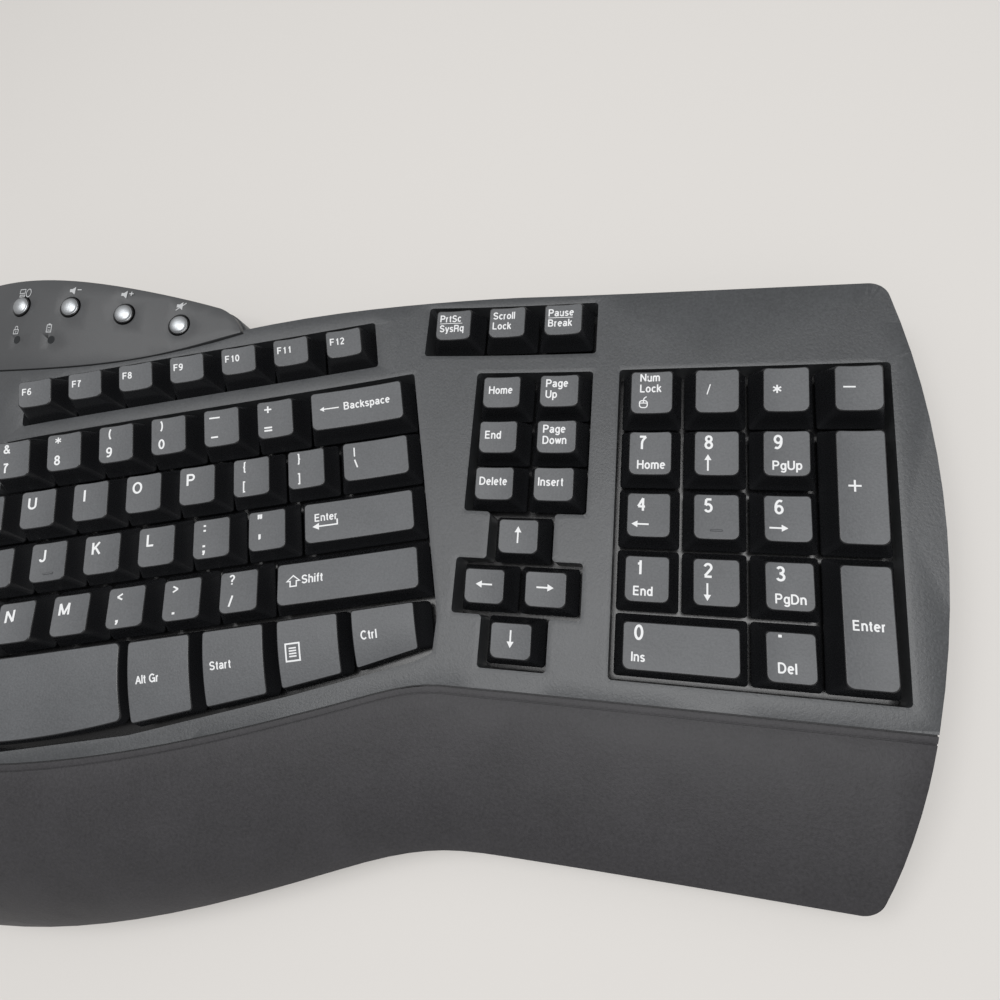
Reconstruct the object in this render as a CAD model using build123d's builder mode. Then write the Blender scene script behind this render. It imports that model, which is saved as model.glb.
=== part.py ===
from build123d import *
from math import atan, cos, degrees, pi, radians, sqrt, tan
import os

os.makedirs("parts", exist_ok=True)

# Reach of the keyboard from the line between its halves and from the rear of the pad
right_reach = 316.4
left_reach = 186.0
rear_reach = 43.8
front_reach = 187.2

# Key field
pitch = 19.05
short_pitch = 15.5
right_columns = 7.5
left_columns = 6.5
key_gap = 0.85
key_margin = 1.3
block_out = 20.0
block_front = 30.7
block_height = 40.15
tent_angle = 8.4
turn_angle = 12.0
pad_out = 238.0
pad_height = 16.75
pad_angle = 2.0

# Case form
wall = 2.5
web = 1.6
deck_rise = 4.0
crest_round = 22.0
valley_round = 5.0
rear_edge = 38.0
rear_run = 193.0
rear_sweep = 80.0
rear_sweep_drop = 16.4
right_rear = 305.2
right_bow = 40.0
right_front = 296.8
left_rear = 172.0
left_bow = 45.0
left_front = 166.0
corner_round = 6.0
end_drop = 2.0
groove_line = 92.6
groove_bulge = 39.4
palm_line = 138.6
groove_half = 170.0
palm_half = 174.0
groove_width = 0.5
strip_width = 1.7
strip_line = 0.45
lip_height = 8.4
part_height = 6.0
foot_height = 1.2
floor = 2.4
reveal = 0.4
well_round = 1.2
overrun = 40.0
groove_soft_share = 0.04
palm_soft_share = 0.12
shoulder_share = 0.62
station_steps = 18
station_margin = 12.0
palm_shares = ((0, 1), (0.28, 0.93), (0.55, 0.74), (0.8, 0.43), (1, 0))
wave_steps = 24

# Button pod
pod_half = 92.0
pod_shoulder = 82.0
pod_seam_mid = 6.3
pod_seam_end = 23.3
pod_shoulder_y = 33.5
pod_lift = 5.0
pod_crown = 1.3
pod_skin = 2.0
pod_rim = 2.6
pod_seat = 3.0
pod_ledge = 4.0
pod_gap = 0.6
pod_board_inset = 7.0
pod_board_drop = 6.8
pod_station_shares = (-1.05, -0.7, -0.35, 0, 0.35, 0.7, 1.05)
button_count = 7
button_radius = 3.9
button_pitch = 22.3
button_line = 32.2
button_curve = 0.72
button_proud = 1.7
button_crown = 1.4
button_flange = 4.9
button_flange_top = 2.8
button_flange_low = 3.9
button_stem = 1.6
button_low = 5.3
button_gap = 0.35
switch_radius = 2.3
switch_rise = 0.5
lamp_radius = 1.5
lamp_spots = ((0.9, 18.6), (16.7, 18.3))
lamp_depth = 4.5
probe = 1.0

# Key caps
side_draft = 2.9
top_depth = 13.4
top_shift = 0.2
base_round = 0.9
top_round = 1.8
cap_skin = 1.3
cap_roof = 2.0
dish_depth = 0.55
dish_rim = 0.45
stem_radius = 2.7
stem_bore = 2.0
stem_drop = 2.6
bore_top = 1.4
bar_height = 0.35
bar_length = 3.6
bar_width = 0.7
bar_line = 4.2
number_heights = (9.0, 9.5)
upper_heights = (7.7, 7.4)
home_heights = (7.3, 6.6)
lower_heights = (8.4, 6.7)
function_heights = (9.4, 10.1)
pad_heights = ((10.0, 10.8), (8.6, 9.2), (8.8, 8.1), (9.4, 8.4), (9.3, 8.0))
function_first = 6.5
function_line = 24.3
short_depth = 14.7
short_top_depth = 10.6
function_depth = 15.0
function_top_depth = 10.0
system_heights = (9.6, 10.2)
arrow_heights = (9.2, 9.8)
system_first = 67.0
system_line = 26.7
navigation_mid = 38.33
navigation_line = 1.5
arrow_mid = 38.9
arrow_line = 46.2
arrow_pitch = 15.8

# Front row and space bar
thumb_rear = 67.4
thumb_round = 2.0
thumb_taper_share = 0.17
thumb_high = 6.8
thumb_middle = 6.9
thumb_low = 3.0
thumb_over = 3.5
thumb_middle_share = 0.47
right_thumbs = (
    (42.8, 66.7, 95.2, 92.9),
    (67.5, 90.9, 93.0, 90.8),
    (91.9, 115.0, 90.3, 87.3),
    (116.0, 141.2, 86.9, 82.2),
)
left_thumbs = (
    (42.8, 65.6, 95.2, 92.9),
    (66.4, 90.0, 92.8, 90.4),
    (91.0, 117.4, 90.2, 84.4),
)
bar_rear = ((74.6, 87.9), (24.0, 98.8), (0, 101.2))
bar_front = ((79.6, 113.2), (0, 127.5))
bar_nose = 12.8
bar_reach = 88.0
bar_skirt = 2.6
bar_high = 2.0
bar_mid_high = 2.4
bar_low = 1.0
bar_taper_share = 0.05
bar_corner = 2.4
bar_start = 28.0
bar_stem_out = 44.0
bar_stem_line = 108.0
bar_hole = 4.6
bar_clear = 22.0

# Stack under the keys, measured down from the skirts
frame_drop = 4.0
frame_thick = 1.6
guide_side = 8.6
guide_bore = 3.1
guide_height = 3.4
sheet_drop = 8.1
sheet_thick = 0.5
plate_thick = 1.0
dome_radius = 4.2
dome_neck = 2.2
dome_shoulder = 1.7
dome_nub = 1.6
dome_height = 5.1
stack_gap = 0.3
well_reach = 16.0

# Underside
boss_radius = 3.4
screw_radius = 1.25
screw_gap = 0.05
screw_top = 10.0
head_radius = 2.8
head_height = 1.3
head_sink = 0.1
slot_width = 0.7
slot_depth = 0.6
screw_spots = (
    (-164, 24), (151, 27), (225, 27), (300, 26), (-176, -50), (182, -81),
    (-150, -124), (-90, -150), (0, -170), (90, -150), (176, -118), (240, -118), (298, -118),
)
foot_spots = ((-150, -128), (0, -176), (175, -128), (290, -126), (-166, -8), (298, -8), (60, 12), (-60, 12))
foot_length = 20.0
foot_width = 8.0
foot_round = 3.0
cell_radius = 7.1
cell_length = 48.4
cell_gap = 1.0
nub_radius = 2.7
nub_length = 1.2
bay_line = 62.0
bay_length = 52.6
bay_width = 30.4
bay_top = 18.6
bay_seat = 3.9
contact_thick = 0.5
contact_side = 11.0
spring_radius = 3.0
spring_length = 0.7
door_length = 60.0
door_width = 38.0
door_thick = 1.5
door_slide = 8.0
door_gap = 0.15
tongue_reach = 1.0
tongue_low = 0.7
tongue_thick = 0.6
tongue_slot = 0.1
grip_count = 5
grip_pitch = 2.4
grip_width = 1.0
grip_length = 18.0
grip_depth = 0.4
leg_spots = ((-145, 27), (262, 29))
leg_width = 20.0
leg_length = 18.0
leg_axis = 3.4
leg_barrel = 1.9
leg_thick = 3.2
leg_tip = 1.4
leg_gap = 0.3
pin_radius = 1.2
pin_gap = 0.08
pin_reach = 1.3
pocket_roof = 5.7
pocket_skin = 1.2
switch_spot = (62, -70)
knob_length = 4.0
knob_width = 4.0
knob_low = 1.5
knob_flange = 9.0
knob_flange_width = 6.0
knob_flange_low = 3.7
knob_flange_thick = 1.0
knob_travel = 2.0
knob_gap = 0.2
board_spot = (98, -42)
board_length = 70.0
board_width = 44.0
board_level = 8.6
board_thick = 1.6
board_round = 2.0
post_radius = 2.6
post_inset = 4.5
chip_spots = ((-16, 6, 12, 12), (8, -8, 8, 8), (14, 10, 10, 6), (-22, -12, 9, 5))
chip_height = 1.3

middle_x = (right_reach - left_reach) / 2
middle_y = (rear_reach - front_reach) / 2
tent_slope = tan(radians(tent_angle))
pad_slope = tan(radians(pad_angle))
crest_height = block_height + deck_rise + tent_slope * (block_out - crest_round)
left_inset = pitch / 4
key_side = pitch - key_gap
under = foot_height
floor_top = foot_height + floor


def ground(height=0):
    """Level plane at a height, with its origin on the line between the halves."""
    return Plane(origin=(-middle_x, -middle_y, height))


def block_plane(side):
    """Plane under the skirts of one half's keys; its origin is the first number key."""
    spot = (side * block_out - middle_x, -block_front - middle_y, block_height)
    return Plane(Location(spot, (0, side * tent_angle, side * turn_angle)))


right_block = block_plane(1)
left_block = block_plane(-1)
pad_block = Plane(Location((pad_out - middle_x, -middle_y, pad_height), (pad_angle, 0, 0)))


def write(piece, name):
    """Labels a finished piece and writes its file."""
    piece.part.label = name
    export_step(piece.part, f"parts/{name}.step")


def bulge(x, half_length, soft):
    """Share by which an edge swings forward at x: one at the middle, none at the sides."""
    wave = cos(pi * x / half_length / 2)
    return (wave + sqrt(wave * wave + soft * soft)) / 2


def groove_y(x):
    return -groove_line - groove_bulge * bulge(x, groove_half, groove_soft_share)


def palm_y(x):
    return -palm_line - (front_reach - palm_line) * bulge(x, palm_half, palm_soft_share)


def deck_z(x, y):
    """Height of the deck: a tented crest that runs out into the level number side."""
    crest = crest_height - tent_slope * (sqrt(x * x + crest_round**2) - crest_round)
    level = pad_height + deck_rise + pad_slope * y
    return level + (crest - level + sqrt((crest - level) ** 2 + valley_round**2)) / 2


def cross_plane(x):
    """Upright plane across the keyboard at x; its first axis runs to the rear."""
    return Plane(origin=(x - middle_x, -middle_y, 0), x_dir=(0, 1, 0), z_dir=(1, 0, 0))


def body_form(drop):
    """Solid of the whole body, its upper surface lowered by drop."""
    near, far = -left_reach - station_margin, right_reach + station_margin
    with BuildPart() as form:
        for x in [near + (far - near) * n / station_steps for n in range(station_steps + 1)]:
            rear, seam, lip = rear_reach + wall, groove_y(x), palm_y(x) - wall
            rear_z, seam_z, lip_z = deck_z(x, rear_edge) - drop, deck_z(x, seam) - drop, lip_height - drop
            palm = [
                (seam + (lip - seam) * along, lip_z + (seam_z - lip_z) * high)
                for along, high in palm_shares
            ]
            with BuildSketch(cross_plane(x)):
                with BuildLine():
                    Line((lip, -overrun), (rear, -overrun))
                    Line((rear, -overrun), (rear, rear_z))
                    Line((rear, rear_z), palm[0])
                    Spline(palm)
                    Line(palm[-1], (lip, -overrun))
                make_face()
        loft()
    return form.part


def pod_z(x, y):
    """Height of the pod: level with the deck at its seam and lifted towards the rear."""
    seam = pod_seam_mid + (pod_seam_end - pod_seam_mid) * (x / pod_half) ** 2
    rise = pod_lift * (1 - (x / pod_half) ** 2 / 2)
    along = (y - pod_seam_mid) / (rear_reach - pod_seam_mid)
    crown = pod_crown * along * (along * 2 - 1)
    return deck_z(x, y) + rise * (y - seam) / (rear_reach - pod_seam_mid) - crown


def pod_form(drop):
    """Solid under the pod's upper surface, lowered by drop."""
    front, rear = pod_seam_mid - wall, rear_reach + wall
    middle = (front + rear) / 2
    with BuildPart() as form:
        for share in pod_station_shares:
            x = share * pod_half
            ends = (rear, pod_z(x, rear) - drop), (front, pod_z(x, front) - drop)
            with BuildSketch(cross_plane(x)):
                with BuildLine():
                    Line((front, -overrun), (rear, -overrun))
                    Line((rear, -overrun), ends[0])
                    ThreePointArc(ends[0], (middle, pod_z(x, middle) - drop), ends[1])
                    Line(ends[1], (front, -overrun))
                make_face()
        loft()
    return form.part


def pod_outline(inset):
    """Plan of the pod, drawn in by inset."""
    round_x = pod_shoulder + (pod_half - pod_shoulder) * shoulder_share
    round_y = pod_seam_end + (pod_shoulder_y - pod_seam_end) * shoulder_share
    with BuildSketch() as outline:
        with BuildLine():
            for side in (-1, 1):
                ThreePointArc(
                    (side * pod_half, pod_seam_end),
                    (side * round_x, round_y),
                    (side * pod_shoulder, pod_shoulder_y),
                )
            ThreePointArc((-pod_shoulder, pod_shoulder_y), (0, rear_reach), (pod_shoulder, pod_shoulder_y))
            ThreePointArc((-pod_half, pod_seam_end), (0, pod_seam_mid), (pod_half, pod_seam_end))
        make_face()
        if inset:
            offset(amount=-inset, kind=Kind.INTERSECTION)
    return outline.sketch


def case_outline(inset):
    """Plan of the whole case, drawn in by inset."""
    front, rear = inset, rear_edge - inset
    corners = (right_rear - inset, rear - end_drop), (-left_rear + inset, rear - end_drop)
    run = right_front + left_front - inset * 2
    steps = [right_front - inset - run * n / wave_steps for n in range(wave_steps + 1)]
    edge = [(x, palm_y(x) + front) for x in steps]
    sweep_y = rear - rear_sweep_drop
    bend_y = rear - rear_sweep_drop / 4
    right_mid = (rear_run + rear_sweep) / 2
    left_run = left_rear - corner_round * 3
    left_mid = (left_run + rear_sweep) / 2
    with BuildSketch() as outline:
        with BuildLine():
            ThreePointArc(corners[0], (right_reach - inset, -right_bow), edge[0])
            Spline(edge)
            ThreePointArc(edge[-1], (-left_reach + inset, -left_bow), corners[1])
            Line(corners[1], (-left_run, rear))
            ThreePointArc((-left_run, rear), (-left_mid, bend_y), (-rear_sweep, sweep_y))
            Line((-rear_sweep, sweep_y), (rear_sweep, sweep_y))
            ThreePointArc((rear_sweep, sweep_y), (right_mid, bend_y), (rear_run, rear))
            Line((rear_run, rear), corners[0])
        make_face()
        by_x = outline.vertices().sort_by(Axis.X)
        fillet(by_x[:2] + by_x[-2:], corner_round - inset)
        add(pod_outline(inset))
    return outline.sketch


def groove_region(side, shift):
    """Plan region behind (side 1) or in front of (side -1) the groove line moved by shift."""
    far_x = right_reach + overrun
    near_x = -left_reach - overrun
    far_y = overrun * 2 if side > 0 else -front_reach - overrun
    steps = [near_x + (far_x - near_x) * n / wave_steps / 2 for n in range(wave_steps * 2 + 1)]
    line = [(x, groove_y(x) + shift) for x in steps]
    with BuildSketch() as region:
        with BuildLine():
            Spline(line)
            Line(line[-1], (far_x, far_y))
            Line((far_x, far_y), (near_x, far_y))
            Line((near_x, far_y), line[0])
        make_face()
    return region.sketch


def region_plan(side, inset):
    """Plan of the deck (side 1) or of the palm rest (side -1), drawn in by inset."""
    shift = inset if side > 0 else -groove_width - inset
    with BuildSketch() as plan:
        add(case_outline(inset))
        add(groove_region(side, shift), mode=Mode.INTERSECT)
    return plan.sketch


def prism(outline, low, high):
    """Upright solid over a plan outline between two heights."""
    with BuildPart() as solid:
        with BuildSketch(ground(low)):
            add(outline)
        extrude(amount=high - low)
    return solid.part


def spot_prism(spots, shape, low, high):
    """Upright solids over one small outline set at several plan spots."""
    with BuildPart() as solid:
        with BuildSketch(ground(low)):
            with Locations(*spots):
                add(shape)
        extrude(amount=high - low)
    return solid.part


def disc(radius):
    """Round outline."""
    with BuildSketch() as outline:
        Circle(radius)
    return outline.sketch


def slab(length, width, corner=0):
    """Rectangular outline, its corners rounded if wished."""
    with BuildSketch() as outline:
        if corner:
            RectangleRounded(length, width, corner)
        else:
            Rectangle(length, width)
    return outline.sketch


# Wells of the deck
reach = key_side / 2 + key_margin
right_end = pitch * right_columns - key_gap / 2 + key_margin
left_end = pitch * left_columns - left_inset - key_gap / 2 + key_margin
bar_well = (
    (42.9, 97.0),
    (0, 97.2),
    (-41.0, 92.2),
    (-44.5, 91.4),
    (-37.4, 61.4),
    (-34.0, 62.6),
)
right_tail = ((73.0, 0), (84.0, 2.6), (86.0, 8.4), (91.5, 49.2))
left_tail = ((76.0, 0), (86.8, 2.4), (88.9, 8.0), (91.5, 25.6))
system_well = (77.4, 18.2, 34.9, 16.3)
pad_well = (10.4, 67.55, 10.2, 86.6)
navigation_well = (
    (-57.9, 9.9),
    (-18.8, 9.9),
    (-18.8, -38.2),
    (-28.5, -38.2),
    (-28.5, -53.3),
    (-19.0, -53.3),
    (-19.0, -70.7),
    (-28.5, -70.7),
    (-28.5, -86.5),
    (-49.3, -86.5),
    (-49.3, -70.7),
    (-58.8, -70.7),
    (-58.8, -53.3),
    (-49.3, -53.3),
    (-49.3, -38.2),
    (-57.9, -38.2),
)


def half_well(side):
    """Corners of the well for one half's letter keys and its part of the space bar."""
    shift = 0 if side > 0 else left_inset
    end, tail = (right_end, right_tail) if side > 0 else (left_end, left_tail)
    first = [0, -pitch / 2, -pitch / 4, pitch / 4]
    if side < 0:
        first = [0, pitch / 2, pitch / 4, -pitch / 4]
    inner = [start - reach - shift for start in first]
    lows = [-pitch * row - reach for row in range(4)]
    highs = [-pitch * row + reach for row in range(4)]
    corners = [(inner[0], reach), (end, reach)]
    corners += [(end - back, -low) for low, back in tail]
    corners += [(out, -low) for out, low in bar_well]
    corners += [(inner[3], -thumb_rear)]
    for row in (3, 2, 1):
        step = highs[row] if inner[row] < inner[row - 1] else lows[row - 1]
        corners += [(inner[row], step), (inner[row - 1], step)]
    return [(side * out, along) for out, along in corners]


def function_well(side):
    """Corners of the well for one half's row of function keys."""
    low = function_line - function_depth / 2 - key_margin
    high = function_line + function_depth / 2 + key_margin
    near = function_first - reach
    far = function_first + pitch * 6 + reach if side > 0 else left_end
    return [(side * near, low), (side * far, low), (side * far, high), (side * near, high)]


def box_well(left, right, high, low):
    """Corners of a rectangular well."""
    return [(left, low), (right, low), (right, high), (left, high)]


wells = [
    (right_block, half_well(1)),
    (left_block, half_well(-1)),
    (right_block, function_well(1)),
    (left_block, function_well(-1)),
    (pad_block, box_well(-system_well[0], -system_well[1], system_well[2], system_well[3])),
    (pad_block, navigation_well),
    (pad_block, box_well(-pad_well[0], pad_well[1], pad_well[2], -pad_well[3])),
]


def well_outline(corners, grow):
    """Outline of a well, widened by grow."""
    with BuildSketch() as outline:
        with BuildLine():
            Polyline(*corners, close=True)
        make_face()
        if grow:
            offset(amount=grow, kind=Kind.INTERSECTION)
        fillet(outline.vertices(), well_round)
    return outline.sketch


def well_stack(grow, low, high):
    """Solids over all wells between two heights above the skirts, along each block's normal."""
    with BuildPart() as solid:
        for plane, corners in wells:
            with BuildSketch(plane.offset(low)):
                add(well_outline(corners, grow))
            extrude(amount=high - low)
    return solid.part


# Case
top_level = rear_reach + overrun
skin_form = body_form(0)
cavity_form = body_form(wall)
seat_form = body_form(pod_seat)
ledge_form = body_form(pod_seat + pod_skin)
mark_form = body_form(strip_line)
well_cut = well_stack(0, -frame_drop, well_reach)

with BuildPart() as deck_block:
    add(prism(region_plan(1, 0), part_height, top_level))
    add(skin_form, mode=Mode.INTERSECT)

with BuildPart() as deck_cavity:
    add(prism(region_plan(1, wall), part_height, top_level))
    add(cavity_form, mode=Mode.INTERSECT)

with BuildPart() as pod_ring:
    add(prism(pod_outline(-wall), part_height, top_level))
    add(ledge_form, mode=Mode.SUBTRACT)

with BuildPart() as pod_recess:
    add(prism(pod_outline(0), part_height, top_level))
    add(seat_form, mode=Mode.SUBTRACT)

with BuildPart() as deck_inside:
    add(well_stack(web, -frame_drop, well_reach))
    add(pod_ring.part)
    add(spot_prism(screw_spots[:6], disc(boss_radius), floor_top, top_level))
    add(deck_block.part, mode=Mode.INTERSECT)

with BuildPart() as low_bosses:
    add(spot_prism(screw_spots[:6], disc(boss_radius), floor_top, part_height + wall))

with BuildPart() as top_case:
    add(deck_block.part)
    add(deck_cavity.part, mode=Mode.SUBTRACT)
    add(deck_inside.part)
    add(low_bosses.part)
    add(well_cut, mode=Mode.SUBTRACT)
    add(pod_recess.part, mode=Mode.SUBTRACT)
    add(prism(pod_outline(pod_ledge), screw_top + wall, top_level), mode=Mode.SUBTRACT)
    bores = spot_prism(screw_spots[:6], disc(screw_radius + screw_gap), floor_top, screw_top + web)
    add(bores, mode=Mode.SUBTRACT)
write(top_case, "top_case")

with BuildPart() as palm_cavity:
    add(prism(region_plan(-1, wall), part_height, top_level))
    add(cavity_form, mode=Mode.INTERSECT)

with BuildPart() as palm_bosses:
    add(spot_prism(screw_spots[6:], disc(boss_radius), floor_top, top_level))
    add(mark_form, mode=Mode.INTERSECT)

with BuildSketch() as strip_plan:
    add(groove_region(-1, -groove_width - strip_width))
    add(groove_region(-1, -groove_width - strip_width - strip_line), mode=Mode.SUBTRACT)

with BuildPart() as strip_cut:
    add(prism(strip_plan.sketch, part_height, top_level))
    add(mark_form, mode=Mode.SUBTRACT)

with BuildPart() as palm_rest:
    add(prism(region_plan(-1, 0), part_height, top_level))
    add(skin_form, mode=Mode.INTERSECT)
    add(palm_cavity.part, mode=Mode.SUBTRACT)
    add(palm_bosses.part)
    add(strip_cut.part, mode=Mode.SUBTRACT)
    add(spot_prism(screw_spots[6:], disc(screw_radius + screw_gap), floor_top, screw_top), mode=Mode.SUBTRACT)
write(palm_rest, "palm_rest")


# Media panel, its buttons, lenses and switch strip
def button_spot(n):
    """Plan spot of media button n, counted from the middle."""
    return n * button_pitch, button_line - button_curve * n * n


def pod_plane(x, y):
    """Plane lying on the pod's surface at a plan spot."""
    lean_x = (pod_z(x + probe, y) - pod_z(x - probe, y)) / probe / 2
    lean_y = (pod_z(x, y + probe) - pod_z(x, y - probe)) / probe / 2
    return Plane(origin=(x - middle_x, y - middle_y, pod_z(x, y)), z_dir=(-lean_x, -lean_y, 1))


half_count = (button_count - 1) // 2
button_planes = [pod_plane(*button_spot(n)) for n in range(-half_count, half_count + 1)]
lamp_planes = [pod_plane(x, y) for x, y in lamp_spots]


def studs(planes, radius, low, high):
    """Round studs standing on several planes."""
    with BuildPart() as solid:
        for plane in planes:
            with BuildSketch(plane.offset(low)):
                Circle(radius)
            extrude(amount=high - low)
    return solid.part


with BuildPart() as pod_hollow:
    add(prism(pod_outline(pod_gap + pod_rim), part_height, top_level))
    add(pod_form(pod_skin), mode=Mode.INTERSECT)

with BuildPart() as media_panel:
    add(prism(pod_outline(pod_gap), part_height, top_level))
    add(pod_form(0), mode=Mode.INTERSECT)
    add(seat_form, mode=Mode.SUBTRACT)
    add(pod_hollow.part, mode=Mode.SUBTRACT)
    add(studs(button_planes, button_radius + button_gap, -well_reach, well_reach), mode=Mode.SUBTRACT)
    add(studs(lamp_planes, lamp_radius, -well_reach, well_reach), mode=Mode.SUBTRACT)
write(media_panel, "media_panel")

with BuildPart() as indicator_lenses:
    add(studs(lamp_planes, lamp_radius, -lamp_depth, 0))
write(indicator_lenses, "indicator_lenses")

with BuildPart() as media_switch_board:
    add(prism(pod_outline(pod_board_inset), part_height, top_level))
    add(pod_form(pod_board_drop), mode=Mode.INTERSECT)
    add(pod_form(pod_board_drop + plate_thick), mode=Mode.SUBTRACT)
    add(studs(button_planes, switch_radius, -pod_board_drop - plate_thick / 2, switch_rise - pod_board_drop))
write(media_switch_board, "media_switch_board")


def media_button(plane):
    """Domed button with its flange and stem."""
    with BuildPart() as button:
        with BuildSketch(plane.offset(-button_flange_low)):
            Circle(button_flange)
        extrude(amount=button_flange_low - button_flange_top)
        with BuildSketch(plane.offset(-button_flange_low)):
            Circle(button_radius)
        extrude(amount=button_flange_low + button_proud)
        fillet(top_rim(button, plane), button_crown)
        with BuildSketch(plane.offset(-button_low)):
            Circle(button_stem)
        extrude(amount=button_low - button_flange_top)
    return button


def top_rim(piece, plane):
    """Rim of a piece's face that lies farthest along a plane's normal."""
    top = piece.faces().sort_by(Axis(plane.origin, plane.z_dir))[-1]
    return top.edges()


media_names = (
    "media_button_stop",
    "media_button_play",
    "media_button_next",
    "media_button_device",
    "media_button_softer",
    "media_button_louder",
    "media_button_mute",
)
for name, plane in zip(media_names, button_planes):
    write(media_button(plane), name)


# Key caps
def cap(wide, heights, deep=key_side, top_deep=top_depth, marks=0):
    """Hollow key cap on its skirt plane; heights are those of its front and rear."""
    front, rear = heights
    middle = (front + rear) / 2
    top_wide = wide - side_draft * 2
    lean = degrees(atan((rear - front) / top_deep))
    top = Plane(Location((0, -top_shift, middle), (lean, 0, 0)))
    half_dish = top_wide / 2 - dish_rim
    dish = (half_dish**2 / dish_depth + dish_depth) / 2
    with BuildPart() as piece:
        with BuildSketch():
            RectangleRounded(wide, deep, base_round)
        with BuildSketch(top):
            RectangleRounded(top_wide, top_deep, top_round)
        loft()
        with BuildSketch(Plane(origin=top.origin, x_dir=top.x_dir, z_dir=-top.y_dir)):
            with Locations((0, dish - dish_depth)):
                Circle(dish)
        extrude(amount=deep, both=True, mode=Mode.SUBTRACT)
        if marks:
            with BuildSketch(top.offset(-dish_depth * 2)):
                with Locations((0, -bar_line)):
                    SlotOverall(bar_length, bar_width)
            extrude(amount=dish_depth + bar_height)
        with BuildSketch():
            RectangleRounded(wide - cap_skin * 2, deep - cap_skin * 2, base_round)
        with BuildSketch(top.offset(-cap_roof)):
            RectangleRounded(top_wide - cap_skin * 2, top_deep - cap_skin * 2, base_round)
        loft(mode=Mode.SUBTRACT)
        with BuildSketch(Plane.XY.offset(-stem_drop)):
            Circle(stem_radius)
        extrude(amount=stem_drop + middle - cap_roof + dish_depth)
        with BuildSketch(Plane.XY.offset(-stem_drop)):
            Circle(stem_bore)
        extrude(amount=stem_drop + bore_top, mode=Mode.SUBTRACT)
    return piece.part


stem_spots = []


def group(plane, caps):
    """Key caps at their spots on one block's plane; their stems are noted."""
    with BuildPart() as keys:
        for part, spots in caps:
            for along, out in spots:
                stem_spots.append((plane, along, out))
            with Locations(*[plane.location * Location((u, v, 0)) for u, v in spots]):
                add(part)
    return keys


def units(count):
    """Base width of a key of so many pitches."""
    return count * pitch - key_gap


def row_spots(first, count, line, shift=0):
    """Spots of a row of single keys."""
    return [((first + n) * pitch + shift, line) for n in range(count)]


half, quarter = 1 / 2, 1 / 4
rows = [0, -pitch, -pitch * 2, -pitch * 3]
number_cap = cap(key_side, number_heights)
upper_cap = cap(key_side, upper_heights)
home_cap = cap(key_side, home_heights)
marked_home_cap = cap(key_side, home_heights, marks=1)
lower_cap = cap(key_side, lower_heights)
function_cap = cap(key_side, function_heights, function_depth, function_top_depth)

# Right half
f_spots = [(function_first + pitch * n, function_line) for n in range(7)]
write(group(right_block, [(function_cap, f_spots)]), "keys_f_right")
write(group(right_block, [(number_cap, row_spots(0, 6, rows[0]))]), "keys_number_right")
wide = cap(units(2), number_heights)
write(group(right_block, [(wide, [(pitch * 6 + pitch * half, rows[0])])]), "backspace_key")
write(group(right_block, [(upper_cap, row_spots(-half, 7, rows[1]))]), "keys_upper_right")
wide = cap(units(1 + half), upper_heights)
write(group(right_block, [(wide, [(pitch * 7 - pitch * quarter, rows[1])])]), "backslash_key")
home = row_spots(-quarter, 6, rows[2])
write(group(right_block, [(home_cap, home[:1] + home[2:]), (marked_home_cap, home[1:2])]), "keys_home_right")
wide = cap(units(2 + quarter), home_heights)
write(group(right_block, [(wide, [(pitch * 6 + pitch * 3 / 8, rows[2])])]), "enter_key")
write(group(right_block, [(lower_cap, row_spots(quarter, 5, rows[3]))]), "keys_lower_right")
wide = cap(units(3 - quarter), lower_heights)
write(group(right_block, [(wide, [(pitch * 6 + pitch / 8, rows[3])])]), "shift_key_right")

# Left half
far_spot = [(-pitch * 6 + left_inset, function_line)]
write(group(left_block, [(function_cap, far_spot)]), "escape_key")
f_spots = [(-function_first - pitch * n, function_line) for n in range(5)]
write(group(left_block, [(function_cap, f_spots)]), "keys_f_left")
write(group(left_block, [(number_cap, row_spots(-6, 7, rows[0], left_inset))]), "keys_number_left")
wide = cap(units(1 + half), upper_heights)
write(group(left_block, [(wide, [(-pitch * 6 + pitch * quarter + left_inset, rows[1])])]), "tab_key")
write(group(left_block, [(upper_cap, row_spots(-5 + half, 5, rows[1], left_inset))]), "keys_upper_left")
wide = cap(units(2 - quarter), home_heights)
write(group(left_block, [(wide, [(-pitch * 6 + pitch * 3 / 8 + left_inset, rows[2])])]), "caps_lock_key")
home = row_spots(-4 - quarter, 5, rows[2], left_inset)
caps = [(home_cap, home[:3] + home[4:]), (marked_home_cap, home[3:4])]
write(group(left_block, caps), "keys_home_left")
wide = cap(units(2 + quarter), lower_heights)
write(group(left_block, [(wide, [(-pitch * 5 - pitch * 3 / 8 + left_inset, rows[3])])]), "shift_key_left")
write(group(left_block, [(lower_cap, row_spots(-4 + quarter, 5, rows[3], left_inset))]), "keys_lower_left")

# Number pad and the keys beside it
pad_caps = [cap(key_side, heights) for heights in pad_heights]
write(group(pad_block, [(pad_caps[0], row_spots(0, 4, 0))]), "keys_pad_top")
digits = [(pad_caps[n], row_spots(0, 3, -pitch * n)) for n in (1, 3)]
digits += [(pad_caps[2], [(0, rows[2]), (pitch * 2, rows[2])])]
digits += [(cap(key_side, pad_heights[2], marks=1), [(pitch, rows[2])])]
digits += [(pad_caps[4], [(pitch * 2, -pitch * 4)])]
write(group(pad_block, digits), "keys_pad_digits")
write(group(pad_block, [(cap(units(2), pad_heights[4]), [(pitch * half, -pitch * 4)])]), "pad_zero_key")
tall_depth = units(2)
tall_top = tall_depth - key_side + top_depth
tall = cap(key_side, (pad_heights[2][0], pad_heights[1][1]), tall_depth, tall_top)
write(group(pad_block, [(tall, [(pitch * 3, -pitch - pitch * half)])]), "pad_plus_key")
tall = cap(key_side, (pad_heights[3][0], pad_heights[4][1]), tall_depth, tall_top)
write(group(pad_block, [(tall, [(pitch * 3, -pitch * 3 - pitch * half)])]), "pad_enter_key")
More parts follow.
